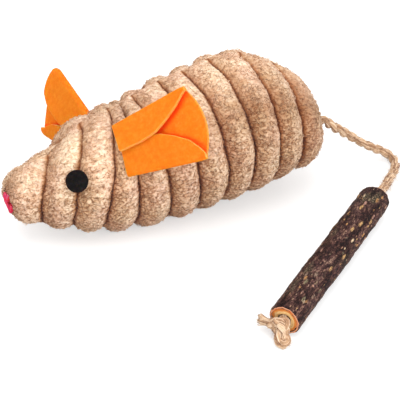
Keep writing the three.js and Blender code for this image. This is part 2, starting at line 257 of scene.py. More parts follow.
def smooth(piece, degrees=None):
    only(piece)
    if degrees is None:
        bpy.ops.object.shade_smooth()
    else:
        bpy.ops.object.shade_smooth_by_angle(angle=math.radians(degrees))


def roughness(places, scale, octaves=3, seed=0.0):
    shift = Vector((seed, 0, seed))
    return np.array([noise.fractal(Vector(p) / scale + shift, 0.9, 2.1, octaves) for p in places])


def roughen(piece, sizeMm, octaves, seed, heightMm):
    places = points(piece)
    height = roughness(places, sizeMm * mm, octaves, seed) * heightMm * mm
    setPoints(piece, places + normals(piece) * height[:, None])


# Camera

view = {
    "azimuth": -21,
    "elevation": 35,
    "distanceMm": 301.5,
    "targetMm": (4.0, -6.0, 2.5),
    "lens": 76.5,
    "sensorMm": 36,
}


def makeCamera():
    a, e = math.radians(view["azimuth"]), math.radians(view["elevation"])
    back = Vector((math.sin(a) * math.cos(e), -math.cos(a) * math.cos(e), math.sin(e)))
    data = bpy.data.cameras.new("camera")
    data.lens = view["lens"]
    data.sensor_width = view["sensorMm"]
    data.clip_start = 0.01
    camera = bpy.data.objects.new("camera", data)
    camera.location = Vector(view["targetMm"]) * mm + back * view["distanceMm"] * mm
    camera.rotation_euler = (-back).to_track_quat("-Z", "Y").to_euler()
    bpy.context.collection.objects.link(camera)
    bpy.context.scene.camera = camera


makeCamera()
print("camera placed")


# Twine: two plies of jute laid round each other, with loose fibres

twine = {
    "diameterMm": 3.0,
    "plies": 2,
    "pitchMm": 8.5,  # of the lay
    "plySides": 34,
    "stepMm": 0.45,
    "grooves": 11,  # bundles of fibre that show on a ply
    "grooveMm": 0.16,
    "plyReachShare": 0.21,  # of the diameter, from the middle of the twine to that of a ply
    "plyRadiusShare": 0.33,
    "looseAtMm": 9,  # from the tail's pivot, where its plies stand apart
    "looseReachMm": 5,
    "hairs": 420,
    "hairMm": (1.2, 3.4),
    "hairThickMm": 0.075,
    "hairFloorMm": 0.1,
    "bareMm": 5,  # of the tail at the rear seam, without loose fibres
    "bareLeadMm": 2,  # before the tail's lead into the stick
}

# The tail's bends, in mm, between its pivot and its straight lead into the stick
tailRoute = [
    (54.7, 0.3, 21.4), (58.5, 0.3, 18), (62.9, 0.2, 15), (67.4, -0.2, 11.8), (71.7, -1.1, 8.6),
    (75.9, -2.1, 6.2), (80, -2.9, 4.2), (82.6, -4.6, 2.6), (82.6, -8.2, 1.8), (79.1, -13.2, 1.9),
    (73, -19.4, 3), (68.2, -24.3, 4.5),
]

stick = {
    "topMm": (59.7, -31.4),
    "headingDegrees": 218,
    "lengthMm": 71.3,
    "topRadiusMm": 5.45,
    "endRadiusMm": 5.05,
    "bumpShare": 0.03,
    "boreRadiusMm": 2.1,
    "barkMm": 0.9,
    "leadMm": 6,  # of the tail in line with the stick
}


def stickEnds():
    rest = 1 + stick["bumpShare"]
    turn = math.radians(stick["headingDegrees"])
    top = Vector((*stick["topMm"], stick["topRadiusMm"] * rest)) * mm
    way = Vector((math.cos(turn), math.sin(turn), 0)) * stick["lengthMm"] * mm
    end = top + way
    end.z = stick["endRadiusMm"] * rest * mm
    return top, end


stickTop, stickEnd = stickEnds()
stickAxis = (stickEnd - stickTop).normalized()
tailPivot = next(Vector(j["pos_m"]) for j in frame["joints"] if j["name"] == "tail_swing")


def smoothLine(through, stepMm):
    p = np.array([2 * np.array(through[0]) - np.array(through[1]), *through,
                  2 * np.array(through[-1]) - np.array(through[-2])], float)
    knots = np.concatenate([[0], np.cumsum(np.sqrt(np.linalg.norm(np.diff(p, axis=0), axis=1)))])
    line = []
    for i in range(1, len(p) - 2):
        t0, t1, t2, t3 = knots[i - 1:i + 3]
        count = max(2, int(np.linalg.norm(p[i + 1] - p[i]) / (stepMm * mm)))
        for t in np.linspace(t1, t2, count, endpoint=False):
            a1 = (t1 - t) / (t1 - t0) * p[i - 1] + (t - t0) / (t1 - t0) * p[i]
            a2 = (t2 - t) / (t2 - t1) * p[i] + (t - t1) / (t2 - t1) * p[i + 1]
            a3 = (t3 - t) / (t3 - t2) * p[i + 1] + (t - t2) / (t3 - t2) * p[i + 2]
            b1 = (t2 - t) / (t2 - t0) * a1 + (t - t0) / (t2 - t0) * a2
            b2 = (t3 - t) / (t3 - t1) * a2 + (t - t1) / (t3 - t1) * a3
            line.append((t2 - t) / (t2 - t1) * b1 + (t - t1) / (t2 - t1) * b2)
    line.append(p[-2])
    return np.array(line)


def framesAlong(line):
    tangents = np.gradient(line, axis=0)
    tangents /= np.linalg.norm(tangents, axis=1)[:, None]
    side = np.cross(tangents[0], (0.0, 0.0, 1.0))
    if np.linalg.norm(side) < 0.1:
        side = np.cross(tangents[0], (0.0, 1.0, 0.0))
    first = []
    for tangent in tangents:
        side = side - tangent * side.dot(tangent)
        side /= np.linalg.norm(side)
        first.append(side)
    first = np.array(first)
    return tangents, first, np.cross(tangents, first)


# One strand along a line: its points, faces, shade and the counts that lay out its bake map
def tube(line, radius, sides, shade=0.5, twist=None):
    _, first, second = framesAlong(line)
    turns = np.arange(sides) / sides * 2 * np.pi
    angle = turns[None, :] + (np.zeros(len(line)) if twist is None else twist)[:, None]
    reach = np.asarray(radius, float)
    reach = np.full((len(line), sides), reach) if reach.ndim == 0 else reach
    reach = np.repeat(reach[:, None], sides, 1) if reach.ndim == 1 else reach
    ring = np.cos(angle)[..., None] * first[:, None] + np.sin(angle)[..., None] * second[:, None]
    places = (line[:, None] + reach[..., None] * ring).reshape(-1, 3)
    rows = len(line)
    row, i = np.meshgrid(np.arange(rows - 1), np.arange(sides), indexing="ij")
    j = (i + 1) % sides
    quads = np.stack([row * sides + i, row * sides + j, (row + 1) * sides + j, (row + 1) * sides + i], -1)
    faces = quads.reshape(-1, 4).tolist()
    faces.append(list(range(sides - 1, -1, -1)))
    faces.append([(rows - 1) * sides + k for k in range(sides)])
    shades = np.broadcast_to(shade, (len(places),)).astype(float)
    return places, faces, shades, (rows, sides)


def tubePiece(name, parts, shadeName):
    places = np.concatenate([part[0] for part in parts])
    faces, count = [], 0
    for part in parts:
        faces.extend([k + count for k in face] for face in part[1])
        count += len(part[0])
    piece = meshPiece(name, places, faces)
    setValue(piece, shadeName, np.concatenate([part[2] for part in parts]))
    layOutTubes(piece, [part[3] for part in parts])
    return piece


# Long strands get a strip each of the bake map, and short ones a cell each under the strips
def layOutTubes(piece, counts, longRows=12, capShare=0.02, fillShare=0.85, border=0.01):
    strips = sum(rows > longRows for rows, _ in counts)
    cells = len(counts) - strips
    split = 0.0 if not cells else (1.0 if not strips else 0.5)
    wide = max(1, math.ceil(math.sqrt(cells)))
    corners, strip, cell = [], 0, 0
    for rows, sides in counts:
        if rows > longRows:
            height = (1 - split) / strips
            low = (border, split + strip * height)
            size = (1 - 2 * border, height * fillShare)
            strip += 1
        else:
            low = (cell % wide / wide, cell // wide / wide * split)
            size = (fillShare / wide, fillShare / wide * split)
            cell += 1
        row, i = np.meshgrid(np.arange(rows - 1), np.arange(sides), indexing="ij")
        across = np.stack([i, i + 1, i + 1, i], -1) / sides
        along = np.stack([row, row, row + 1, row + 1], -1) / (rows - 1)
        wall = np.stack([low[0] + along * size[0], low[1] + across * size[1]], -1).reshape(-1, 2)
        turns = np.arange(sides) / sides * 2 * np.pi
        cap = np.stack([np.cos(turns), np.sin(turns)], -1) * capShare * size[1]
        firstCap = cap[::-1] + (low[0] + capShare * size[1], low[1] + size[1] / 2)
        lastCap = cap + (low[0] + size[0] - capShare * size[1], low[1] + size[1] / 2)
        corners.extend([wall, firstCap, lastCap])
    layer = piece.data.uv_layers.new(name="OFBake")
    layer.uv.foreach_set("vector", np.concatenate(corners).ravel())


def laidTwine(line, seed, phase=0.0, size=1.0, loose=0.0):
    rng = np.random.default_rng(seed)
    _, first, second = framesAlong(line)
    steps = np.linalg.norm(np.diff(line, axis=0), axis=1)
    along = np.concatenate([[0], np.cumsum(steps)])
    near = np.exp(-((along / mm - twine["looseAtMm"]) / twine["looseReachMm"]) ** 2)
    layRadius = twine["diameterMm"] * mm * twine["plyReachShare"] * size * (1 + loose * near)
    plyRadius = twine["diameterMm"] * mm * twine["plyRadiusShare"] * size
    sides = twine["plySides"]
    turns = np.arange(sides) / sides * 2 * np.pi
    parts = []
    for ply in range(twine["plies"]):
        turn = 2 * np.pi * (along / (twine["pitchMm"] * mm) + ply / twine["plies"]) + phase
        centre = line + layRadius[:, None] * (np.cos(turn)[:, None] * first + np.sin(turn)[:, None] * second)
        lumps = rng.uniform(-1, 1, sides)
        bundles = np.abs(np.sin(turns * twine["grooves"] / 2)) ** 0.7
        base = plyRadius + twine["grooveMm"] * mm * (bundles - 0.5 + 0.45 * lumps)
        waves = np.sin(np.arange(len(line)) * 0.21 + ply * 2.0)
        swell = 1 + 0.07 * waves + 0.05 * rng.normal(0, 1, len(line))
        wander = np.cumsum(rng.normal(0, 0.25, len(line)))
        twist = -2 * np.pi * along / (twine["pitchMm"] * mm) * 0.6 + wander * 0.3
        tones = rng.uniform(0, 1, twine["grooves"])[(turns / (2 * np.pi) * twine["grooves"]).astype(int)]
        # each bundle's own tone, and painted shade down in the grooves between bundles
        shade = np.tile(0.5 * tones + 0.35 * bundles, len(line)) + rng.uniform(0, 0.15, sides * len(line))
        parts.append(tube(centre, base[None, :] * swell[:, None], sides, shade, twist))
    return parts


def strayHairs(line, count, seed, reachMm=None):
    rng = np.random.default_rng(seed)
    tangents, first, second = framesAlong(line)
    outer = twine["diameterMm"] * mm * 0.46
    thick = twine["hairThickMm"] * mm / 2 * np.array([1.0, 0.95, 0.8, 0.45])
    t = np.array([0, 0.33, 0.67, 1])[:, None]
    parts = []
    for _ in range(count):
        at = rng.integers(2, len(line) - 2)
        turn = rng.uniform(0, 2 * np.pi)
        out = np.cos(turn) * first[at] + np.sin(turn) * second[at]
        around = np.cross(tangents[at], out)
        way = tangents[at] * rng.choice([-1, 1]) + around * rng.uniform(-0.9, 0.9)
        length = rng.uniform(*(reachMm or twine["hairMm"])) * mm
        lift = rng.uniform(0.05, 0.75)
        curl = rng.uniform(-0.5, 0.5)
        fibre = way * t + out * (lift * t - 0.25 * lift * t * t) + around * curl * t * t
        fibre = line[at] + out * outer * np.where(t == 0, 0.92, 1.0) + fibre * length
        fibre[:, 2] = np.maximum(fibre[:, 2], twine["hairFloorMm"] * mm)
        parts.append(tube(fibre, thick, 3, rng.uniform(0.3, 1)))
    return parts


def juteMaterial():
    # Jute, spun and laid in two plies: dull, with pale and dark fibres that run with the twist
    # and painted shade in the grooves between the fibre bundles
    material, shader = newMaterial("jute twine")
    place = placeIn(material)
    fleck = addMath(material, "MULTIPLY_ADD", addNoise(material, place, 1.1, 3.0), 0.35, -0.1)
    mixed = addMath(material, "MULTIPLY_ADD", attributeOf(material, "toneAndGrooveShade"), 0.85, fleck)
    colour = addRamp(material, mixed, [
        (0.2, "#4A2C1C"), (0.36, "#8A6246"), (0.56, "#C29A76"), (0.8, "#E8CEB0"),
    ])
    addBump(material, shader, addNoise(material, place, 0.3, 2.0), 0.12, 0.6)
    feed(material, shader, {"Base Color": colour, "Roughness": 0.85, "Sheen Weight": 0.15})
    return material


jute = juteMaterial()


def makeTail():
    through = [tailPivot, *[Vector(p) * mm for p in tailRoute]]
    through.append(stickTop - stickAxis * stick["leadMm"] * mm)
    through.append(stickTop)
    through.append(stickEnd)
    line = smoothLine([np.array(p) for p in through], twine["stepMm"])
    tail = tubePiece("tailTwine", laidTwine(line, seed=4, phase=0.8, loose=0.4), "toneAndGrooveShade")
    dress(tail, jute, "twine", "tail", "tail_cord")
    smooth(tail)
    bareEnd = stick["lengthMm"] + stick["leadMm"] + twine["bareLeadMm"]
    shown = line[int(twine["bareMm"] / twine["stepMm"]):len(line) - int(bareEnd / twine["stepMm"])]
    hairs = tubePiece("tailFibres", strayHairs(shown, twine["hairs"], 8), "toneAndGrooveShade")
    dress(hairs, jute, "twine", "tail")
    return tail, hairs, line


tail, tailHairs, tailLine = makeTail()
print("tail laid:", len(tail.data.polygons), "faces")


# Knots

knot = {
    "depthMm": 2.4,
    "gapMm": 0.3,
    "sinkMm": 0.5,  # of the knot under the bore's middle
    "reachMm": 1.75,  # of the wraps from the middle
    "tightShare": 0.9,  # of the twine's thickness, where it's drawn tight
    "stepMm": 0.3,
    "lowMm": 1.3,  # that a strand's middle may come to the floor
    "bightTurnDegrees": 49,
    "bightReachMm": 4.0,
    "bightSpreadMm": 0.86,
    "bightLowMm": 1.5,
    "bightLiftMm": 0.4,  # of its ends, where they enter the knot
    # places along the loop, as shares of its reach and of its spread
    "bightShares": [(-0.1, 0.5), (0.35, 1.05), (0.65, 1.1), (0.88, 0.8), (1.0, 0.0),
                    (0.88, -0.8), (0.65, -1.1), (0.35, -1.05), (-0.1, -0.5)],
    "loopBackMm": 0.5,
    "loopHeightMm": 0.9,
    "wrapPoints": 14,
    "wrapTurns": 1.2,
    "wrapBackMm": 1.1,
    "wrapPitchMm": 0.15,
    "frayMm": 7.5,
    "frayWideMm": 1.2,
    "frayLiftMm": 0.3,
    "frayFibres": 170,
    "frayRadiusMm": 0.13,
    "frayBendMm": 0.3,
    "frayStrayMm": 0.16,
    "hairs": 45,  # on each strand
    "hairMm": (0.6, 1.9),
    "floorGapMm": 0.05,
}

anchor = {"loopMm": 2.6, "heightMm": 1.1, "leadMm": 1.5, "endGapMm": 0.2, "stepMm": 0.4}


def overhandLine(middle, along, up, size, height, points=60, skipped=4):
    turns = np.linspace(0.35, 2 * np.pi - 0.35, points)[::skipped]
    third = np.cross(along, up)
    x = size * (np.sin(turns) + 2 * np.sin(2 * turns)) / 3
    y = size * (np.cos(turns) - 2 * np.cos(2 * turns)) / 3
    z = -height * np.sin(3 * turns)
    return list(np.array(middle) + x[:, None] * third + y[:, None] * up + z[:, None] * along)


def makeEndKnot():
    rng = np.random.default_rng(12)
    axis = np.array(stickAxis)
    sideways = np.cross((0.0, 0.0, 1.0), axis)
    sideways /= np.linalg.norm(sideways)
    up = np.cross(axis, sideways)
    middle = np.array(stickEnd) + axis * (knot["gapMm"] + knot["depthMm"]) * mm - up * knot["sinkMm"] * mm
    parts, lines = [], []

    def strandOf(through, phase, seed):
        line = smoothLine(through, knot["stepMm"])
        line[:, 2] = np.maximum(line[:, 2], knot["lowMm"] * mm)
        parts.extend(laidTwine(line, seed, phase, knot["tightShare"]))
        lines.append(line)

    # the loop that hangs from the knot: both of its strands and the turn between them
    turn = math.radians(knot["bightTurnDegrees"])
    bightWay = axis * math.cos(turn) + sideways * math.sin(turn)
    bightSide = np.cross((0.0, 0.0, 1.0), bightWay)
    drop = middle[2] - knot["bightLowMm"] * mm
    loop = []
    for share, side in knot["bightShares"]:
        out = bightWay * knot["bightReachMm"] * share + bightSide * side * knot["bightSpreadMm"]
        lift = knot["bightLiftMm"] * (share < 0)
        fall = drop * (1 - (1 - np.clip(share, 0, 1)) ** 1.6)
        loop.append(middle + (out + up * lift) * mm - up * fall)
    strandOf(loop, 0.4, 21)
    # the wraps of the knot itself
    size = knot["reachMm"] * mm
    back = middle - axis * knot["loopBackMm"] * mm
    strandOf(overhandLine(back, axis, up, size * 1.1, knot["loopHeightMm"] * mm), 1.3, 22)
    wrap = []
    for i in range(knot["wrapPoints"]):
        angle = i / (knot["wrapPoints"] - 1) * 2 * np.pi * knot["wrapTurns"] + 0.4
        ring = up * math.sin(angle) + sideways * math.cos(angle)
        forward = i * knot["wrapPitchMm"] - knot["wrapBackMm"]
        wrap.append(middle + axis * forward * mm + ring * size * 0.95)
    strandOf(wrap, 2.0, 23)
    # the cut end, which opens into loose fibre
    frayWay = -sideways * 0.98 - axis * 0.12 - up * 0.16
    frayStart = middle + up * knot["frayLiftMm"] * mm
    length, wide = knot["frayMm"] * mm, knot["frayWideMm"] * mm
    strandOf([frayStart + frayWay * length * share for share in (0, 0.2, 0.35, 0.5)], 0.2, 24)
    root = frayStart + frayWay * length * 0.4
    for _ in range(knot["frayFibres"]):
        a, r = rng.uniform(0, 2 * np.pi), math.sqrt(rng.uniform(0, 1))
        across = up * math.cos(a) + axis * math.sin(a)
        near = root + across * r * wide * 0.8
        run = frayWay * length * rng.uniform(0.46, 0.62)
        bend = across * rng.uniform(0.0, knot["frayBendMm"]) * mm
        bend = bend + rng.normal(0, knot["frayStrayMm"], 3) * mm + across * r * wide * 0.35
        fibre = [near + run * t + bend * t * t for t in (0, 0.3, 0.6, 0.85, 1)]
        parts.append(tube(np.array(fibre), knot["frayRadiusMm"] * mm, 4, rng.uniform(0.4, 1)))
    for i, line in enumerate(lines):
        parts.extend(strayHairs(line, knot["hairs"], 30 + i, knot["hairMm"]))
    piece = tubePiece("endKnot", parts, "toneAndGrooveShade")
    keepOver(piece, knot["floorGapMm"])
    smooth(piece)
    return dress(piece, jute, "twine", "tail", "end_knot")


def makeAnchorKnot():
    low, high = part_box("tail_anchor_knot")
    middle = np.array((low[0] + knot["depthMm"] * mm, (low[1] + high[1]) / 2, (low[2] + high[2]) / 2))
    back, up = np.array((1.0, 0, 0)), np.array((0, 0, 1.0))
    loop = overhandLine(middle, back, up, anchor["loopMm"] * mm, anchor["heightMm"] * mm)
    end = np.array((high[0] - anchor["endGapMm"] * mm, middle[1], tailPivot[2]))
    strands = laidTwine(smoothLine(loop, anchor["stepMm"]), seed=41)
    stub = smoothLine([middle, middle + back * anchor["leadMm"] * mm, end], anchor["stepMm"])
    piece = tubePiece("anchorKnot", strands + laidTwine(stub, seed=42), "toneAndGrooveShade")
    smooth(piece)
    return dress(piece, jute, "twine", "root", "tail_anchor_knot")


endKnot = makeEndKnot()
makeAnchorKnot()


# Body: two panels of wide-wale fleece, sewn along the back and the belly

body = {
    "lengthMm": 116.6,
    "noseReachMm": 62.9,
    "radiusMm": 23.3,
    "rollHeightMm": 20,
    "rollDegrees": 15,
    "noseDomeShare": 0.7,
    "rearDomeShare": 0.955,
    "waleMm": 2.1,  # a crest over the sections
    "grooveMm": 0.9,  # a groove's stitched bottom under the sections
    "waleShare": 0.5,
    "waleFadeMm": 8,
    "seamMm": 1.6,  # the seams over the sections
    "seamReachMm": 2.0,
    "alongShares": [0.011, 0.124, 0.22, 0.295, 0.36, 0.429, 0.511, 0.586, 0.663, 0.752, 0.853, 0.978],
    "axisShares": [0.822, 0.734, 0.856, 0.873, 0.859, 0.913, 1.003, 1.074, 1.146, 1.175, 1.088, 0.9],
    "radiusShares": [0.426, 0.426, 0.69, 0.801, 0.824, 0.869, 0.91, 0.935, 0.967, 0.961, 0.809, 0.809],
    "leans": [-14.5, -14.5, -13.6, -12.7, -3, 7.1, 7.1, 7, 6.4, 5, 3.5, 2.8],
    "sweepShares": [0.32, 0.32, 0.24, 0.08, 0.04, -0.02, -0.05, -0.11, -0.125, -0.09, -0.03, -0.03],
    "sagShares": [1.03, 1.03, 1.03, 1.04, 1.05, 1.05, 1.05, 1.04, 1.02, 0.97, 0.93, 0.93],
}
wales = len(body["leans"]) - 1

fleece = {
    "columns": 620,  # of the outer face, from nose to tail
    "rows": 300,  # from back seam to belly seam
    "crimpMm": 0.95,  # between the crevices in the pile
    "crimpDepthMm": 0.4,
    "stretchShare": 0.6,  # of the crimps, drawn out across the wales
    "crevices": (0.16, 0.12),  # widths, in the noise's own units
    "lumpMm": 3.2,
    "lumpHeightMm": 0.28,
    "seamShare": 0.0015,  # of the half turn, left free at each seam
    "backingMm": 1.8,  # of the cloth's thickness under the grooves
    "weldMm": 0.02,
    # how a groove wanders: by this share of a wale, with so many waves round and along the body
    "wanderShares": [(0.018, 5.1, 2.3), (0.012, 11.3, 1.7), (0.005, 33, 7), (0.004, 57, 11)],
    "nubMm": 1.1,  # between the nubs of the finest pile
    "curls": 7400,  # on a panel
    "curlMm": (0.8, 1.6),
    "curlThickMm": 0.2,
    "curlRootMm": 0.1,  # of a curl sunk in the pile
    "curlFloorMm": 0.15,
}


def between(values, place):
    v = np.array([2 * values[0] - values[1], *values, 2 * values[-1] - values[-2]], float)
    i = np.clip(np.floor(place).astype(int), 0, len(values) - 2)
    t = place - i
    a, b, c, d = v[i], v[i + 1], v[i + 2], v[i + 3]
    square, cube = 2 * a - 5 * b + 4 * c - d, 3 * b - a - 3 * c + d
    return (2 * b + (c - a) * t + square * t ** 2 + cube * t ** 3) / 2


def groovePoint(place, angle):
    x = between(body["alongShares"], place) * body["lengthMm"] - body["noseReachMm"]
    z = between(body["axisShares"], place) * body["radiusMm"]
    lean = np.radians(between(body["leans"], place))
    fromTip = np.clip(np.minimum(place, wales - place), 0, 1)
    dome = np.where(place < wales / 2, body["noseDomeShare"], body["rearDomeShare"])
    reach = between(body["radiusShares"], place) * body["radiusMm"] * (1 - (1 - fromTip) ** 2) ** dome
    sag = np.where(np.cos(angle) < 0, between(body["sagShares"], place), 1)
    up, left = np.cos(angle) * reach * sag, np.sin(angle) * reach
    sweep = between(body["sweepShares"], place) * np.abs(left)
    x, y, z = x - np.sin(lean) * up - sweep, -left, z + np.cos(lean) * up
    roll, height = math.radians(body["rollDegrees"]), body["rollHeightMm"]
    rolled = y * math.cos(roll) + (z - height) * math.sin(roll)
    rise = (z - height) * math.cos(roll) - y * math.sin(roll)
    return np.stack([x, rolled, height + rise], -1) * mm, reach


def grooveNormal(place, angle):
    step = 0.02
    at = np.clip(place, step, wales - step)
    along = groovePoint(at + step, angle)[0] - groovePoint(at - step, angle)[0]
    around = groovePoint(at, angle + step)[0] - groovePoint(at, angle - step)[0]
    normal = np.cross(around, along)
    return normal / np.maximum(np.linalg.norm(normal, axis=-1)[..., None], 1e-12)


def skinPoint(place, angle, phase):
    base, reach = groovePoint(place, angle)
    crest = np.abs(np.sin(np.pi * (place - phase)))
    across = (place - phase) % 1
    lift = (body["waleMm"] + body["grooveMm"]) * crest ** body["waleShare"] - body["grooveMm"]
    seam = np.minimum(np.abs(angle), np.pi - np.abs(angle)) * reach
    near = np.exp(-(seam / body["seamReachMm"]) ** 2)
    lift = (lift * (1 - near) + body["seamMm"] * near) * np.minimum(1, reach / body["waleFadeMm"])
    return base + grooveNormal(place, angle) * (lift * mm)[..., None], crest, across


# Columns stand closer together over the round tips
def placesFrom(share):
    whole = share * wales
    first = 1 - np.cos(np.clip(whole, 0, 1) * np.pi / 2)
    last = wales - 1 + np.sin(np.clip(whole - (wales - 1), 0, 1) * np.pi / 2)
    return np.where(whole < 1, first, np.where(whole > wales - 1, last, whole))


# 0 in a crevice of the pile, 1 on a lock of it
def crimpAt(q):
    scale = fleece["crimpMm"] * mm
    p = Vector((q[0] * fleece["stretchShare"], q[1], q[2])) / scale
    p += 0.7 * noise.noise_vector(p * 0.4) + 0.35 * noise.noise_vector(p * 1.2)
    wide, narrow = fleece["crevices"]
    first = min(abs(noise.noise(p)) / wide, 1)
    second = min(abs(noise.noise(p * 1.45 + Vector((7, 3, 5)))) / narrow, 1)
    return (first * (0.4 + 0.6 * second)) ** 0.6


def gridHalf(name, columns, rows, isOuter):
    start()
    bpy.ops.mesh.primitive_grid_add(x_subdivisions=columns, y_subdivisions=rows, size=1)
    piece = named(name)
    setValue(piece, "outer", np.full(len(piece.data.vertices), isOuter))
    return piece


def layOutPanel(piece):
    uv = piece.data.uv_layers[0]
    uv.name = "OFBake"
    corners = np.empty(len(piece.data.loops) * 2)
    uv.uv.foreach_get("vector", corners)
    corners = corners.reshape(-1, 2)
    vertexOf = np.empty(len(piece.data.loops), int)
    piece.data.loops.foreach_get("vertex_index", vertexOf)
    outside = getValue(piece, "outer")[vertexOf] > 0.5
    corners[:, 1] = np.where(outside, corners[:, 1] * 0.9, 0.92 + corners[:, 1] * 0.07)
    uv.uv.foreach_set("vector", corners.ravel())


def fleecePanel(name, sign, phase):
    inner = gridHalf(name + "Backing", fleece["columns"] // 6, fleece["rows"] // 5, 0.0)
    outer = gridHalf(name, fleece["columns"], fleece["rows"], 1.0)
    inner.select_set(True)
    bpy.ops.object.join()
    flat, isOuter = points(outer), getValue(outer, "outer")
    place = placesFrom(flat[:, 0] + 0.5)
    margin = fleece["seamShare"]
    angle = (margin + (flat[:, 1] + 0.5) * (1 - 2 * margin)) * np.pi * sign
    inside = np.clip(np.minimum(place, wales - place) - 0.5, 0, 1)
    wander = sum(share * np.sin(angle * turns + place * waves)
                 for share, turns, waves in fleece["wanderShares"])
    shaped, crest, across = skinPoint(place, angle, phase + wander * inside)
    base, _ = groovePoint(place, angle)
    lining = base - grooveNormal(place, angle) * (fleece["backingMm"] * mm)
    setPoints(outer, np.where(isOuter[:, None] > 0.5, shaped, lining))
    setValue(outer, "crest", crest)
    setValue(outer, "across", across)
    setValue(outer, "girth", np.abs(angle) / np.pi)
    layOutPanel(outer)
    only(outer)
    bpy.ops.object.mode_set(mode="EDIT")
    bpy.ops.mesh.select_all(action="SELECT")
    bpy.ops.mesh.remove_doubles(threshold=fleece["weldMm"] * mm)
    bpy.ops.mesh.select_all(action="DESELECT")
    bpy.ops.mesh.select_non_manifold(extend=False, use_wire=False, use_boundary=True, use_multi_face=False,
                                     use_non_contiguous=False, use_verts=False)
    bpy.ops.mesh.bridge_edge_loops()
    bpy.ops.object.mode_set(mode="OBJECT")
    mendMesh(outer)
    raisePile(outer)
    smooth(outer)
    return outer


def raisePile(piece):
    isOuter = getValue(piece, "outer") > 0.5
    places, out = points(piece), normals(piece)
    pile = np.zeros(len(places))
    lumps = np.zeros(len(places))
    for i in np.nonzero(isOuter)[0]:
        pile[i] = crimpAt(places[i])
        lumps[i] = noise.noise(Vector(places[i]) / (fleece["lumpMm"] * mm))
    # 0 on the back, 1 under the flanks, where the pile stands more open, with more painted shade in it
    under = np.clip((getValue(piece, "girth") - 0.25) / 0.35, 0, 1)
    depth = fleece["crimpDepthMm"] * (0.7 + 0.4 * under)
    height = (depth * (pile - 0.7) + fleece["lumpHeightMm"] * lumps) * mm * isOuter
    setPoints(piece, places + out * height[:, None])
    keepOver(piece, fleece["weldMm"])
    # the pile value paints shade into the crevices, lighter on the back
    setValue(piece, "pile", 1 - (1 - pile) * (0.5 + 0.5 * under))


def fleeceCurls(name, panel, seed):
    rng = np.random.default_rng(seed)
    places, out = points(panel), normals(panel)
    outer = np.nonzero(getValue(panel, "outer") > 0.5)[0]
    traits = {key: getValue(panel, key) for key in ("crest", "across", "girth")}
    weight = np.clip(traits["crest"][outer], 0.2, 1) * np.clip(getValue(panel, "pile")[outer], 0.1, 1)
    chosen = rng.choice(outer, fleece["curls"], replace=False, p=weight / weight.sum())
    thick = fleece["curlThickMm"] * mm / 2 * np.array([0.6, 1, 1.05, 1, 0.6])
    t = np.linspace(0, 1, len(thick))[:, None]
    arch = np.sin(np.pi * t)
    parts = []
    for i in chosen:
        up = out[i]
        side = np.cross(up, rng.normal(0, 1, 3) * (0.35, 1, 1))
        side /= np.linalg.norm(side)
        other = np.cross(up, side)
        length = rng.uniform(*fleece["curlMm"]) * mm
        rise = rng.uniform(0.15, 0.4) * length
        bend = rng.uniform(-0.5, 0.5) * length
        root = places[i] - up * fleece["curlRootMm"] * mm
        line = root + side * length * (t - 0.5) + (up * rise * 1.2 + other * bend) * arch
        line[:, 2] = np.maximum(line[:, 2], fleece["curlFloorMm"] * mm)
        parts.append(tube(line, thick, 3, rng.uniform(0.55, 1.0)))
    piece = tubePiece(name, parts, "pile")
    for key, values in traits.items():
        setValue(piece, key, np.repeat(values[chosen], len(parts[0][0])))
    smooth(piece)
    return piece


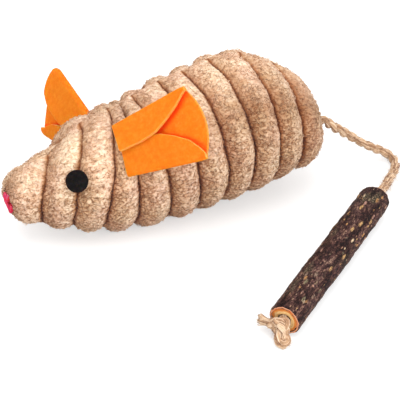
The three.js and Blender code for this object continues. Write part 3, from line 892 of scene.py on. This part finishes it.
def fleeceMaterial():
    # Coral fleece with wide wales, crimped: dull and soft, pale on its locks. Painted shade browns the gaps
    # between them, the grooves and each wale's slope to the nose, most underneath, least on the back.
    material, shader = newMaterial("coral fleece")
    names = ("pile", "crest", "across", "girth")
    pile, crest, across, girth = (attributeOf(material, name) for name in names)
    place = placeIn(material)
    warp = addVector(material, "MULTIPLY", addNoise(material, place, 1.3, 2.0, "Color"), (0.9 * mm,) * 3)
    drawn = addStretch(material, addVector(material, "ADD", warp, place), (fleece["stretchShare"], 1, 1))
    # painted shade in the gaps between the locks: wider underneath and towards the nose, shut on the back
    edges = addVoronoi(material, drawn, fleece["nubMm"], "DISTANCE_TO_EDGE", "Distance")
    gaps = addRange(material, edges, 0.0, addRange(material, girth, 0.3, 0.6, 0.13, 0.3))
    # more painted shade on each wale's slope towards the nose and underneath, varied in patches by noise
    lean = addRamp(material, across, [(0.3, "#000000"), (0.6, "#505050"), (0.95, "#404040")])
    low = addRamp(material, girth, [(0.2, "#4C4C4C"), (0.5, "#282828"), (0.65, "#101010")])
    patchy = addNoise(material, place, 1.0, 2.0)
    shut = addMath(material, "ADD", patchy, addMath(material, "ADD", lean, low))
    shallow = addRange(material, girth, 0.25, 0.6, 0.52, 0.08)
    least = addMath(material, "MAXIMUM", shallow, addRange(material, shut, 0.46, 0.62))
    lock = addMath(material, "MAXIMUM", gaps, least)
    height = addMath(material, "MULTIPLY", lock, addMath(material, "MULTIPLY_ADD", pile, 0.75, 0.25))
    # pale on the locks, brown with painted shade down in the gaps
    tips = addRamp(material, height, [
        (0.0, "#946A4C"), (0.35, "#CEA98A"), (0.6, "#EACCB0"), (1.0, "#F7E2CC"),
    ])
    each = addVoronoi(material, drawn, fleece["nubMm"], "F1", "Color")
    uneven = addRamp(material, each, [(0.25, "#ECE1D6"), (0.6, "#FFFFFF")])
    # towards the back the painted shade in the grooves and on the wales' front slopes is lighter
    upper = addRange(material, girth, 0.25, 0.6, 0.06, 0.0)
    rise = addMath(material, "ADD", crest, upper)
    behind = addMath(material, "ADD", across, upper)
    # painted shade, dark brown down in each groove
    grooveShade = addRamp(material, rise, [
        (0.0, "#683616"), (0.09, "#A07248"), (0.2, "#E0C8B0"), (0.36, "#FFFFFF"),
    ])
    # painted shade, darker on each wale's slope towards the nose
    frontSlopeShade = addRamp(material, behind, [
        (0.02, "#CEB49E"), (0.2, "#E2D2C2"), (0.42, "#F4ECE4"), (0.6, "#FFFFFF"),
    ])
    tint = addRamp(material, addNoise(material, place, 9, 2.0), [(0.35, "#FBEEE8"), (0.65, "#FFFBF2")])
    # over the middle of the flanks, towards the rear, the colour is a little browner
    along = addNode(material, "ShaderNodeSeparateXYZ", {0: place}).outputs["X"]
    belt = addRamp(material, girth, [
        (0.13, "#000000"), (0.38, "#FFFFFF"), (0.5, "#B0B0B0"), (0.65, "#303030"),
    ])
    flank = addMath(material, "MULTIPLY", addRange(material, along, -10 * mm, 14 * mm), belt)
    brown = addRamp(material, flank, [(0.0, "#FFFFFF"), (1.0, "#C6B4A2")])
    colour = tips
    for layer in (grooveShade, frontSlopeShade, tint, uneven, brown):
        colour = multiply(material, colour, layer)
    addBump(material, shader, lock, 0.3, 0.75)
    feed(material, shader, {
        "Base Color": colour, "Roughness": 0.95, "Specular IOR Level": 0.2, "Sheen Weight": 0.15,
        "Sheen Roughness": 0.6,
    })
    return material


coralFleece = fleeceMaterial()
for key, sign, phase in [("Left", 1, 0.0), ("Right", -1, 0.5)]:
    panel = fleecePanel("fleece" + key, sign, phase)
    dress(panel, coralFleece, "plush", "root", "plush_panel_" + key.lower())
    curls = fleeceCurls("curls" + key, panel, 51 if sign > 0 else 52)
    dress(curls, coralFleece, "plush", "root")
    print("panel", key, len(panel.data.polygons), "faces, curls", len(curls.data.polygons))


filling = {
    "endWales": 0.35,  # left free at each end of the body, in wales
    "insetMm": 2.9,
    "lumpMm": 5,
    "lumpHeightMm": 0.25,
}


def fillingMaterial():
    # Polyester fibre, teased: white and lumpy
    material, shader = newMaterial("polyester filling")
    wisps = addNoise(material, placeIn(material), 2, 5.0)
    colour = addRamp(material, wisps, [(0.3, "#DDD9CE"), (0.7, "#FBF9F4")])
    addBump(material, shader, wisps, 0.6, 0.8)
    feed(material, shader, {"Base Color": colour, "Roughness": 0.9})
    return material


def makeFilling():
    start()
    bpy.ops.mesh.primitive_uv_sphere_add(segments=96, ring_count=72, radius=1)
    piece = named("fibreFilling")
    unit = points(piece)
    end = filling["endWales"]
    fromNose = 1 - np.arccos(np.clip(unit[:, 2], -1, 1)) / np.pi
    place = end + fromNose * (wales - 2 * end)
    angle = np.arctan2(unit[:, 1], unit[:, 0])
    base, _ = groovePoint(place, angle)
    lumps = 1 - np.clip(roughness(base, filling["lumpMm"] * mm, 2), -1, 1)
    inset = (filling["insetMm"] + filling["lumpHeightMm"] * lumps) * mm
    places = base - grooveNormal(place, angle) * inset[:, None]
    top, bottom = (groovePoint(place, np.full(len(place), half))[0] for half in (0.0, np.pi))
    axis = (top + bottom) / 2
    fullness = np.clip(np.sin(fromNose * np.pi) / 0.12, 0, 1)[:, None]
    setPoints(piece, axis + (places - axis) * fullness)
    mendMesh(piece, fleece["weldMm"])
    smooth(piece)
    dress(piece, fillingMaterial(), "filling", "root", "stuffing")


makeFilling()
print("body filled")


# Felt

felt = {
    "thicknessMm": 1.2,
    "foldGapMm": 0.3,
    "baseMm": 17.3,
    "gridMm": 0.35,
    "fuzzMm": 0.05,
    "flapShadeMm": 0.9,  # how far the warm shade reaches out from under a flap
    "flapShadeGapMm": 0.35,  # between that shade and the lower flap
    "columns": 150,
    "edgeMm": 0.25,
}

ears = {
    "Left": {
        "out": (0.803, -0.401, 0.442), "up": (-0.069, 0.673, 0.736), "face": 1,
        "upperDegrees": 17, "lowerDegrees": 5, "bulgeMm": 3, "roundMm": 0.3, "tipMm": 24.2, "lengthMm": 26.7,
        "slantMm": 0, "flapEdgeMm": [(0, 0), (1, 0)],
        "upperShares": [(0.02, 0.5), (0.3, 0.53), (0.5, 0.5), (0.68, 0.37), (0.84, 0.22), (0.95, 0.08),
                        (1, 0.02)],
        "lowerShares": [(0.02, 0.56), (0.3, 0.58), (0.5, 0.57), (0.68, 0.47), (0.84, 0.34), (0.95, 0.16),
                        (1, 0.03)],
    },
    "Right": {
        "out": (-0.244, 0.966, 0.088), "up": (0.317, -0.007, 0.948), "face": -1,
        "upperDegrees": 9, "lowerDegrees": 5, "bulgeMm": 1.2, "roundMm": 1.1,
        "tipMm": 27.5, "lengthMm": 26.2,
        "slantMm": 1.3,  # of the outer edge, which stands out more at the upper fold
        "flapEdgeMm": [(0, -0.6), (0.15, -0.3), (0.35, -0.4), (0.5, -0.7), (0.64, -1.2), (0.8, -1.9),
                       (0.91, -2.6), (1, -3.4)],
        "upperShares": [(0.02, 0.6), (0.3, 0.66), (0.375, 0.68), (0.58, 0.69), (0.76, 0.67), (0.9, 0.61),
                        (1, 0.55)],
        "lowerShares": [(0.02, 0.42), (0.3, 0.4), (0.5, 0.36), (0.7, 0.3), (0.85, 0.18), (0.95, 0.09),
                        (1, 0.04)],
    },
}


def feltMaterial(name, dark, mid, pale, dentColour=None, rimHighlight=None, flapShadeColour=None):
    # Wool-blend felt, needled flat: dull, with a faint clouding and short fuzz that catches the light
    material, shader = newMaterial(name)
    place = placeIn(material)
    cloud = addNoise(material, place, 1.6, 6.0, Roughness=0.7)
    colour = addRamp(material, cloud, [(0.3, dark), (0.5, mid), (0.72, pale)])
    # painted shade: the cloth is tinted red where a flap shades it; painted highlight: the cut edges are
    # paler
    for attribute, other, most in [("stitch", dentColour, 1), ("paintedFlapShade", flapShadeColour, 0.8), ("rimHighlight", rimHighlight, 0.42)]:
        if other:
            share = addMath(material, "MULTIPLY", attributeOf(material, attribute), most)
            colour = addMix(material, share, colour, srgb(other))
    addBump(material, shader, addNoise(material, place, 0.3, 4.0, Distortion=1.2), 0.16, 0.6)
    # light seeps through the fibres and reddens the shade
    feed(material, shader, {
        "Base Color": colour, "Roughness": 0.95, "Specular IOR Level": 0.15, "Sheen Weight": 0.12,
        "Sheen Roughness": 0.5, "Sheen Tint": srgb(pale), "Subsurface Weight": 0.85,
        "Subsurface Radius": (1.0, 0.15, 0.03), "Subsurface Scale": 4 * mm,
    })
    return material


def roundEdges(piece, widthMm):
    applyModifier(piece, "BEVEL", width=widthMm * mm, segments=2, limit_method="ANGLE",
                  angle_limit=math.radians(50))


foldRadius = (felt["thicknessMm"] + felt["foldGapMm"]) / 2
# the orange felt gets a painted red shade by its flaps and a painted highlight on its cut edges
orangeFelt = feltMaterial("orange felt", "#E66E0E", "#EC7A16", "#F28A28", rimHighlight="#FFB262", flapShadeColour="#FF3C06")
blackFelt = feltMaterial("black felt", "#070606", "#110F0F", "#242020")
# the crimson felt is coloured dark red in the stitch's dent
noseFelt = feltMaterial("crimson felt", "#CC183E", "#E02C50", "#EE6482", "#8E0410")


def atShare(stops, share):
    return np.interp(share, [stop[0] for stop in stops], [stop[1] for stop in stops])


# A point of the folded cloth, in mm along the ear, across it and out of its face, and its painted shade
# by a flap. s runs from the ear's base to its outer edge, and share from the lower flap to the upper one.
def earPoint(ear, s, share):
    base, length, slant = felt["baseMm"], ear["lengthMm"], ear["slantMm"]
    widening = ear["tipMm"] - base
    lean = math.atan2(widening / 2, length)
    half = (base + widening * s - felt["thicknessMm"]) / 2 - foldRadius - ear["roundMm"] * s ** 24
    upper, lower = atShare(ear["upperShares"], s) * base, atShare(ear["lowerShares"], s) * base
    roll = math.pi * foldRadius
    across = share * (lower + 2 * roll + 2 * half + upper) - lower - roll - half
    past = abs(across) - half
    if past < 0:
        overUpper = across - half + upper * math.cos(math.radians(ear["upperDegrees"]))
        overLower = -across - half + lower * math.cos(math.radians(ear["lowerDegrees"]))
        # painted shade: full under a flap and fading just outside its edge
        beside = min(max(-overUpper, 0), max(-overLower, felt["flapShadeGapMm"]))
        bulge = ear["bulgeMm"] * (1 - (across / half) ** 2) * s ** 6
        along = s * length + bulge + slant * across / half * s
        return along, across, 0.0, math.exp(-(beside / felt["flapShadeMm"]) ** 2)
    sign = 1 if across > 0 else -1
    flap, degrees, edge = lower, ear["lowerDegrees"], [(0, 0), (1, 0)]
    if sign > 0:
        flap, degrees, edge = upper, ear["upperDegrees"], ear["flapEdgeMm"]
    opening = math.radians(degrees)
    turn = min(past / roll, 1) * (math.pi - opening)
    onFlap = max(past - roll, 0)
    inward = onFlap * math.cos(opening) - foldRadius * math.sin(turn)
    height = onFlap * math.sin(opening) + foldRadius * (1 - math.cos(turn))
    # the crease runs from the base corner to the outer corner
    foldLine = s * (length + sign * slant) + atShare(edge, onFlap / max(flap, 0.01)) * s ** 6
    return foldLine + math.sin(lean) * inward, sign * (half - math.cos(lean) * inward), height, 0.0


def earSheet(key, ear):
    node = "ear_" + key.lower()
    out = Vector(ear["out"]).normalized()
    facing = out.cross(Vector(ear["up"]).normalized()).normalized() * ear["face"]
    up = facing.cross(out) * ear["face"]
    base = next(Vector(joint["pos_m"]) for joint in frame["joints"] if joint["name"] == node + "_flap")
    rows, columns = int(ear["lengthMm"] / felt["gridMm"]), felt["columns"]
    places, paintedFlapShade = [], []
    for i in range(rows + 1):
        for j in range(columns + 1):
            along, across, height, flapShadeShare = earPoint(ear, i / rows, j / columns)
            places.append(base + (out * along + up * across + facing * height) * mm)
            paintedFlapShade.append(flapShadeShare)
    wide = columns + 1
    corners = [i * wide + j for i in range(rows) for j in range(columns)]
    piece = meshPiece("ear" + key, places, [(k, k + wide, k + wide + 1, k + 1) for k in corners])
    # painted highlight along the edges of the cloth
    rimHighlight = np.zeros((rows + 1, wide))
    rimHighlight[0] = rimHighlight[-1] = rimHighlight[:, 0] = rimHighlight[:, -1] = 1
    setValue(piece, "rimHighlight", rimHighlight.ravel())
    # painted red shade where the flaps shade the cloth
    setValue(piece, "paintedFlapShade", paintedFlapShade)
    mendMesh(piece)
    applyModifier(piece, "SMOOTH", factor=0.5, iterations=3)
    applyModifier(piece, "SOLIDIFY", thickness=felt["thicknessMm"] * mm, offset=0.0)
    roundEdges(piece, felt["edgeMm"])
    roughen(piece, 0.7, 2, 3.0, felt["fuzzMm"])
    smooth(piece, 50)
    dress(piece, orangeFelt, "orange_felt", node, node)
    return piece


for key, ear in ears.items():
    piece = earSheet(key, ear)
    print("ear", key, len(piece.data.polygons), "faces")

eye = {
    "radiusMm": 3.6,
    "thicknessMm": 1.2,
    "wales": 2.02,  # from the nose
    "leftDegrees": 80,
    "rightDegrees": -84,
    "standMm": 2.3,  # of its back over the grooves
    "edgeMm": 0.35,
    "ringMm": 0.36,
    "rings": 9,
    "fuzzMm": 0.07,
}


def makeEye(name, degrees, node):
    angle = np.array([math.radians(degrees)])
    place = np.array([eye["wales"]])
    normal = Vector(grooveNormal(place, angle)[0])
    stand = (eye["standMm"] + eye["thicknessMm"] / 2) * mm
    start()
    bpy.ops.mesh.primitive_cylinder_add(
        vertices=96, radius=eye["radiusMm"] * mm, depth=eye["thicknessMm"] * mm,
        location=Vector(groovePoint(place, angle)[0][0]) + normal * stand,
        rotation=normal.to_track_quat("Z", "X").to_euler())
    piece = named(name)
    settle(piece)
    applyModifier(piece, "BEVEL", width=eye["edgeMm"] * mm, segments=4, limit_method="ANGLE")
    editFaces(piece, lambda polygon: len(polygon.vertices) > 4)
    for _ in range(eye["rings"]):
        bpy.ops.mesh.inset(thickness=eye["ringMm"] * mm)
    bpy.ops.object.mode_set(mode="OBJECT")
    roughen(piece, 0.6, 3, 5.0, eye["fuzzMm"])
    smooth(piece)
    return dress(piece, blackFelt, "black_felt", "root", node)


makeEye("eyeLeft", eye["leftDegrees"], "eye_left")
makeEye("eyeRight", eye["rightDegrees"], "eye_right")

nose = {
    "radiusMm": 3.4,
    "middleMm": (-62.2, -4.6, 16.8),
    "facing": (-0.88, -0.45, -0.15),
    "thicknessMm": 1.0,
    "stitchMm": (-61.9, -6.7, 18.2),  # a stitch that draws the felt in
    "stitchWideMm": 0.85,
    "stitchDeepMm": 0.35,
    "standMm": 0.35,  # of its middle over the pile
    "edgeMm": 0.22,
    "fuzzMm": 0.08,
    "castMm": 12,  # how far before the plush the felt is laid on from
}


def makeNose(panels):
    facing = Vector(nose["facing"]).normalized()
    out = np.array(facing)
    turned = facing.to_track_quat("Z", "Y")
    start()
    bpy.ops.mesh.primitive_grid_add(x_subdivisions=48, y_subdivisions=48, size=2, rotation=turned.to_euler())
    piece = named("noseFelt")
    settle(piece)
    # the square's rings become the rings of a disc
    turn = np.array(turned.to_matrix())
    local = points(piece) @ turn
    most, reach = np.abs(local[:, :2]).max(1), np.hypot(local[:, 0], local[:, 1])
    corner = 1 + 0.07 * np.cos(3 * np.arctan2(local[:, 1], local[:, 0]) + 0.6)
    local[:, :2] *= (most * corner / np.maximum(reach, 1e-9) * nose["radiusMm"] * mm)[:, None]
    laid = []
    for p in local @ turn.T + np.array(Vector(nose["middleMm"]) * mm):
        hits = [panel.ray_cast(Vector(p) + facing * nose["castMm"] * mm, -facing) for panel in panels]
        depths = [(hit[1] - Vector(p)).dot(facing) for hit in hits if hit[0]]
        laid.append(Vector(p) + facing * max(depths))
    setPoints(piece, np.array(laid))
    applyModifier(piece, "SMOOTH", factor=0.5, iterations=25)
    setPoints(piece, points(piece) + out * nose["standMm"] * mm)
    applyModifier(piece, "SOLIDIFY", thickness=nose["thicknessMm"] * mm, offset=0.0)
    roundEdges(piece, nose["edgeMm"])
    q, n = points(piece), normals(piece)
    off = q - np.array(nose["stitchMm"]) * mm
    off -= (off @ out)[:, None] * out
    stitch = np.exp(-(np.linalg.norm(off, axis=1) / (nose["stitchWideMm"] * mm)) ** 2)
    lift = roughness(q, 0.6 * mm, 3, 7.0) * nose["fuzzMm"] - nose["stitchDeepMm"] * stitch
    setPoints(piece, q + n * (lift * mm)[:, None])
    setValue(piece, "stitch", stitch)
    smooth(piece)
    return dress(piece, noseFelt, "pink_felt", "root", "nose_patch")


makeNose([bpy.data.objects[name] for name in ("fleeceLeft", "fleeceRight")])
print("felt cut and glued")


# Chew stick: a twig with its bark on, cut square and drilled

twig = {
    "sides": 120,
    "rings": 260,
    "ridges": [(2, 5), (3, -9), (1, 14)],
    "specks": 230,
    "speckMm": (0.3, 1.35),
    "roughMm": 0.07,
    "fissureMm": 0.09,
    "speckHeightMm": 0.12,
    "speckHalfShares": (0.45, 1.35),  # of its size: across and along the twig
    "endRoundMm": 0.35,
    "endReachMm": 0.5,
    "insetMm": 0.1,
    "thinnerMm": 0.15,  # than the bark's full thickness
    "floorGapMm": 0.03,
    "woodGapMm": 0.05,  # between wood and bark
    "woodInsetMm": 0.15,  # of each sawn end of the wood
    "endBandMm": 0.4,  # the reach of the points that count as a sawn end
    "dishMm": 0.25,
    "sawMm": 0.07,
    "cutMm": 0.2,  # of the bark that shows as freshly sawn
    "barkGrainMm": 1.1,
    "fissureSizeMm": 2.6,
    "drawnShare": 0.35,  # of the bark's pattern, drawn out lengthwise
}


def stickFrame():
    side = Vector((0, 0, 1)).cross(stickAxis).normalized()
    return Matrix((side, stickAxis.cross(side), stickAxis)).transposed()


def onStick(piece):
    setPoints(piece, points(piece) @ np.array(stickFrame()).T + np.array(stickTop))


def barkRadius(along, turn):
    plain = stick["topRadiusMm"] + (stick["endRadiusMm"] - stick["topRadiusMm"]) * along
    waves = sum(np.sin(k * turn + d * along) for k, d in twig["ridges"])
    return plain * (1 + stick["bumpShare"] * waves / 3)


def barkSpecks(turn, along, radius, rough):
    rng = np.random.default_rng(77)
    count = twig["specks"]
    angles, places = rng.uniform(0, 2 * np.pi, count), rng.uniform(0.01, 0.99, count)
    sizes = np.interp(rng.uniform(0, 1, count) ** 1.7, (0, 1), twig["speckMm"])
    hues = rng.uniform(0, 1, count)
    wide, long = twig["speckHalfShares"]
    speck, hue = np.zeros(len(turn)), np.zeros(len(turn))
    for angle, place, size, colour in zip(angles, places, sizes, hues):
        aside = ((turn - angle + np.pi) % (2 * np.pi) - np.pi) * radius
        near = (aside / (size * wide)) ** 2 + ((along - place) * stick["lengthMm"] / (size * long)) ** 2
        bump = np.clip(1.15 - near * (1 + 0.6 * rough), 0, 1)
        hue = np.where(bump > speck, colour, hue)
        speck = np.maximum(speck, bump)
    return speck, hue


def makeBark():
    length = stick["lengthMm"]
    start()
    bpy.ops.mesh.primitive_grid_add(x_subdivisions=twig["sides"], y_subdivisions=twig["rings"], size=1)
    piece = named("twigBark")
    flat = points(piece)
    turn = (flat[:, 0] + 0.5) * 2 * np.pi
    along = flat[:, 1] + 0.5
    ring = np.stack([np.cos(turn), np.sin(turn)], 1)
    radius = barkRadius(along, turn)
    drawn = np.column_stack([ring * radius[:, None], along * length * twig["drawnShare"]])
    rough = roughness(drawn, twig["barkGrainMm"], 4, 1.0)
    size = twig["fissureSizeMm"]
    fissures = np.array([noise.ridged_multi_fractal(Vector(p) / size, 0.9, 2.0, 3, 1.0, 2.0) for p in drawn])
    fissures = np.clip((fissures - fissures.mean()) / fissures.std(), -1.5, 1.5)
    speck, hue = barkSpecks(turn, along, radius, rough)
    ends = np.minimum(along, 1 - along) * length
    lift = twig["roughMm"] * rough - twig["fissureMm"] * fissures + twig["speckHeightMm"] * speck
    lift -= twig["endRoundMm"] * np.exp(-(ends / twig["endReachMm"]) ** 2) + twig["insetMm"]
    setPoints(piece, np.column_stack([ring * (radius + lift)[:, None], along * length]) * mm)
    setValue(piece, "speck", speck)
    setValue(piece, "hue", hue)
    mendMesh(piece, 0.01)
    applyModifier(piece, "SOLIDIFY", thickness=(stick["barkMm"] - twig["thinnerMm"]) * mm, offset=-1.0)
    height = points(piece)[:, 2] / mm
    setValue(piece, "cut", np.minimum(height, length - height) < twig["cutMm"])
    onStick(piece)
    keepOver(piece, twig["floorGapMm"])
    smooth(piece, 60)
    return piece


def makeWood():
    length = stick["lengthMm"] * mm
    outer = stick["endRadiusMm"] - stick["barkMm"] - twig["woodGapMm"]
    bore = stick["boreRadiusMm"]
    start()
    bpy.ops.mesh.primitive_cylinder_add(
        vertices=96, radius=outer * mm, depth=length - 2 * twig["woodInsetMm"] * mm, end_fill_type="NOTHING",
        location=(0, 0, length / 2))
    piece = named("twigWood")
    settle(piece)
    applyModifier(piece, "SOLIDIFY", thickness=(outer - bore) * mm, offset=-1.0)
    editFaces(piece, lambda polygon: abs(polygon.normal.z) > 0.9)
    bpy.ops.mesh.subdivide(number_cuts=9)
    bpy.ops.object.mode_set(mode="OBJECT")
    mendMesh(piece)
    # each sawn end is dished a little, with the saw's fine rings
    q = points(piece)
    reach = np.hypot(q[:, 0], q[:, 1]) / mm
    turn = np.arctan2(q[:, 1], q[:, 0])
    share = (reach - bore) / (outer - bore)
    end = np.where(q[:, 2] > length / 2, 1.0, -1.0)
    atEnd = np.minimum(q[:, 2], length - q[:, 2]) < twig["endBandMm"] * mm
    dished = twig["dishMm"] * np.clip(share, 0, 1) + 0.1 * np.sin(turn * 3 + 1) - twig["dishMm"]
    dished = dished + twig["sawMm"] * np.sin(reach * 9 + turn)
    taper = 1 + (stick["topRadiusMm"] / stick["endRadiusMm"] - 1) * (1 - q[:, 2] / length)
    q[:, 2] += np.where(atEnd, end * dished * mm, 0)
    q[:, :2] *= np.where(share > 0.9, taper, 1)[:, None]
    setPoints(piece, q)
    onStick(piece)
    smooth(piece, 40)
    return piece


def alongStick(material):
    inputs = {"Vector": placeIn(material), "Location": stickTop, "Rotation": stickFrame().to_euler()}
    return addNode(material, "ShaderNodeMapping", inputs, vector_type="TEXTURE").outputs["Vector"]


def barkMaterial():
    # Young fruitwood bark, dried: purple brown to black, with corky specks drawn out lengthwise, small pale
    # scuffs and a few rough grey-green patches
    material, shader = newMaterial("dried twig bark")
    local = alongStick(material)
    drawn = addStretch(material, local, (1.0, 1.0, 0.4))
    grain = addNoise(material, drawn, 1.0, 6.0, Roughness=0.75)
    colour = addRamp(material, grain, [
        (0.3, "#200F10"), (0.42, "#3C2424"), (0.52, "#62423E"), (0.6, "#8C6A5C"), (0.69, "#BE9C86"),
    ])
    crust = addVoronoi(material, local, 0.8, "DISTANCE_TO_EDGE", "Distance")
    lichen = addRamp(material, crust, [(0.0, "#241A14"), (0.12, "#665A46"), (0.4, "#8E8068")])
    patch = addRange(material, addNoise(material, drawn, 6, 4.0), 0.56, 0.66)
    colour = addMix(material, patch, colour, lichen)
    scuff = addRange(material, addNoise(material, drawn, 0.55, 3.0), 0.6, 0.68)
    colour = addMix(material, scuff, colour, srgb("#A4826C"))
    bands = addNoise(material, addStretch(material, local, (1.0, 1.0, 0.22)), 2.6, 3.0)
    banded = addRamp(material, bands, [(0.38, "#8C7A7C"), (0.5, "#E0D6D4"), (0.6, "#FFFFFF")])
    colour = multiply(material, colour, banded)
    cork = addRamp(material, attributeOf(material, "hue"), [
        (0.0, "#CBA06C"), (0.22, "#C8925E"), (0.42, "#B88C80"), (0.58, "#8C8064"), (0.72, "#D8BC98"),
        (0.88, "#8E7464"),
    ], "CONSTANT")
    colour = addMix(material, addRange(material, attributeOf(material, "speck"), 0.2, 0.8), colour, cork)
    fine = addNoise(material, drawn, 0.3, 4.0)
    shade = addRamp(material, fine, [(0.38, "#7E7A7C"), (0.6, "#FFFFFF")])
    colour = multiply(material, colour, shade)
    # the sawn ring at both ends, with a ragged edge
    ragged = addMath(material, "MULTIPLY_ADD", grain, 0.8, -0.4)
    edge = addMath(material, "ADD", attributeOf(material, "cut"), ragged)
    fresh = addRamp(material, edge, [(0.5, "#EDB592"), (0.85, "#DE9468"), (1.0, "#C2602A")])
    colour = addMix(material, addRange(material, edge, 0.4, 0.5), colour, fresh)
    addBump(material, shader, fine, 0.3, 0.8)
    dull = addRange(material, grain, 0.0, 1.0, 0.45, 0.85)
    feed(material, shader, {"Base Color": colour, "Roughness": dull, "Specular IOR Level": 0.15})
    return material


def woodMaterial():
    # Sapwood, sawn across the grain: orange brown outside, paler towards the drilled core, with painted
    # shade dark brown at the bore's edge and on its wall
    material, shader = newMaterial("sawn sapwood")
    local = alongStick(material)
    flat = addVector(material, "MULTIPLY", local, (1.0, 1.0, 0.0))
    reach = addVector(material, "LENGTH", flat, output="Value")
    wobble = addMath(material, "MULTIPLY_ADD", addNoise(material, local, 2.2, 4.0), 1.2 * mm, -0.6 * mm)
    share = addRange(material, addMath(material, "ADD", reach, wobble), 2.0 * mm, 4.6 * mm)
    # painted shade: dark brown at the bore's ragged edge and down its wall
    colour = addRamp(material, share, [
        (0.0, "#7A4A20"), (0.1, "#E6BC7C"), (0.4, "#EBC788"), (0.52, "#D68A3C"), (0.8, "#C86C2A"),
        (1.0, "#C4622A"),
    ])
    addBump(material, shader, addNoise(material, local, 0.35, 5.0), 0.2, 0.6)
    feed(material, shader, {"Base Color": colour, "Roughness": 0.6})
    return material


dress(makeBark(), barkMaterial(), "bark", "stick", "stick_bark")
dress(makeWood(), woodMaterial(), "wood", "stick", "stick_wood")
print("stick cut and drilled")


# Floor, world and lamps

light = {
    "worldStrength": 0.98,
    "keyWatts": 1.05,
    "keySizeM": 0.35,
    "keyMm": (-90, -120, 500),
    "fillWatts": 1.4,
    "fillSizeM": 0.45,
    "fillMm": (60, -450, 130),
    "floorColour": 0.6,
    "floorGlow": 0.5,  # that only the camera sees, for a white background
    "floorM": 6,
    "floorGapMm": 0.05,
}
white = (1, 1, 1, 1)


def makeStage():
    start()
    bpy.ops.mesh.primitive_plane_add(size=light["floorM"], location=(0, 0, -light["floorGapMm"] * mm))
    floor = named("floor")
    settle(floor)
    # White paper, matt: plain white where the camera sees it
    material, shader = newMaterial("white paper")
    seen = addNode(material, "ShaderNodeLightPath").outputs["Is Camera Ray"]
    feed(material, shader, {
        "Base Color": (*[light["floorColour"]] * 3, 1), "Roughness": 0.9, "Specular IOR Level": 0.0,
        "Emission Color": white,
        "Emission Strength": addMath(material, "MULTIPLY", seen, light["floorGlow"]),
    })
    floor.data.materials.append(material)


# The camera sees plain white, and the object is lit by a white of its own strength
def makeWorld():
    world = bpy.data.worlds.new("studio")
    bpy.context.scene.world = world
    world.use_nodes = True
    nodes = world.node_tree.nodes
    feed(world, nodes["Background"], {"Color": white, "Strength": light["worldStrength"]})
    shown = addNode(world, "ShaderNodeBackground", {"Color": white, "Strength": 1})
    seen = addNode(world, "ShaderNodeLightPath").outputs["Is Camera Ray"]
    inputs = {"Fac": seen, 1: nodes["Background"].outputs[0], 2: shown.outputs[0]}
    mix = addNode(world, "ShaderNodeMixShader", inputs)
    feed(world, nodes["World Output"], {"Surface": mix.outputs[0]})


def addLamp(name, watts, size, placeMm):
    data = bpy.data.lights.new(name, "AREA")
    data.energy = watts
    data.size = size
    lamp = bpy.data.objects.new(name, data)
    lamp.location = Vector(placeMm) * mm
    lamp.rotation_euler = (-lamp.location).to_track_quat("-Z", "Y").to_euler()
    bpy.context.collection.objects.link(lamp)


makeStage()
makeWorld()
addLamp("key", light["keyWatts"], light["keySizeM"], light["keyMm"])
addLamp("fill", light["fillWatts"], light["fillSizeM"], light["fillMm"])
bpy.context.scene.view_settings.view_transform = "Standard"
print("lit")
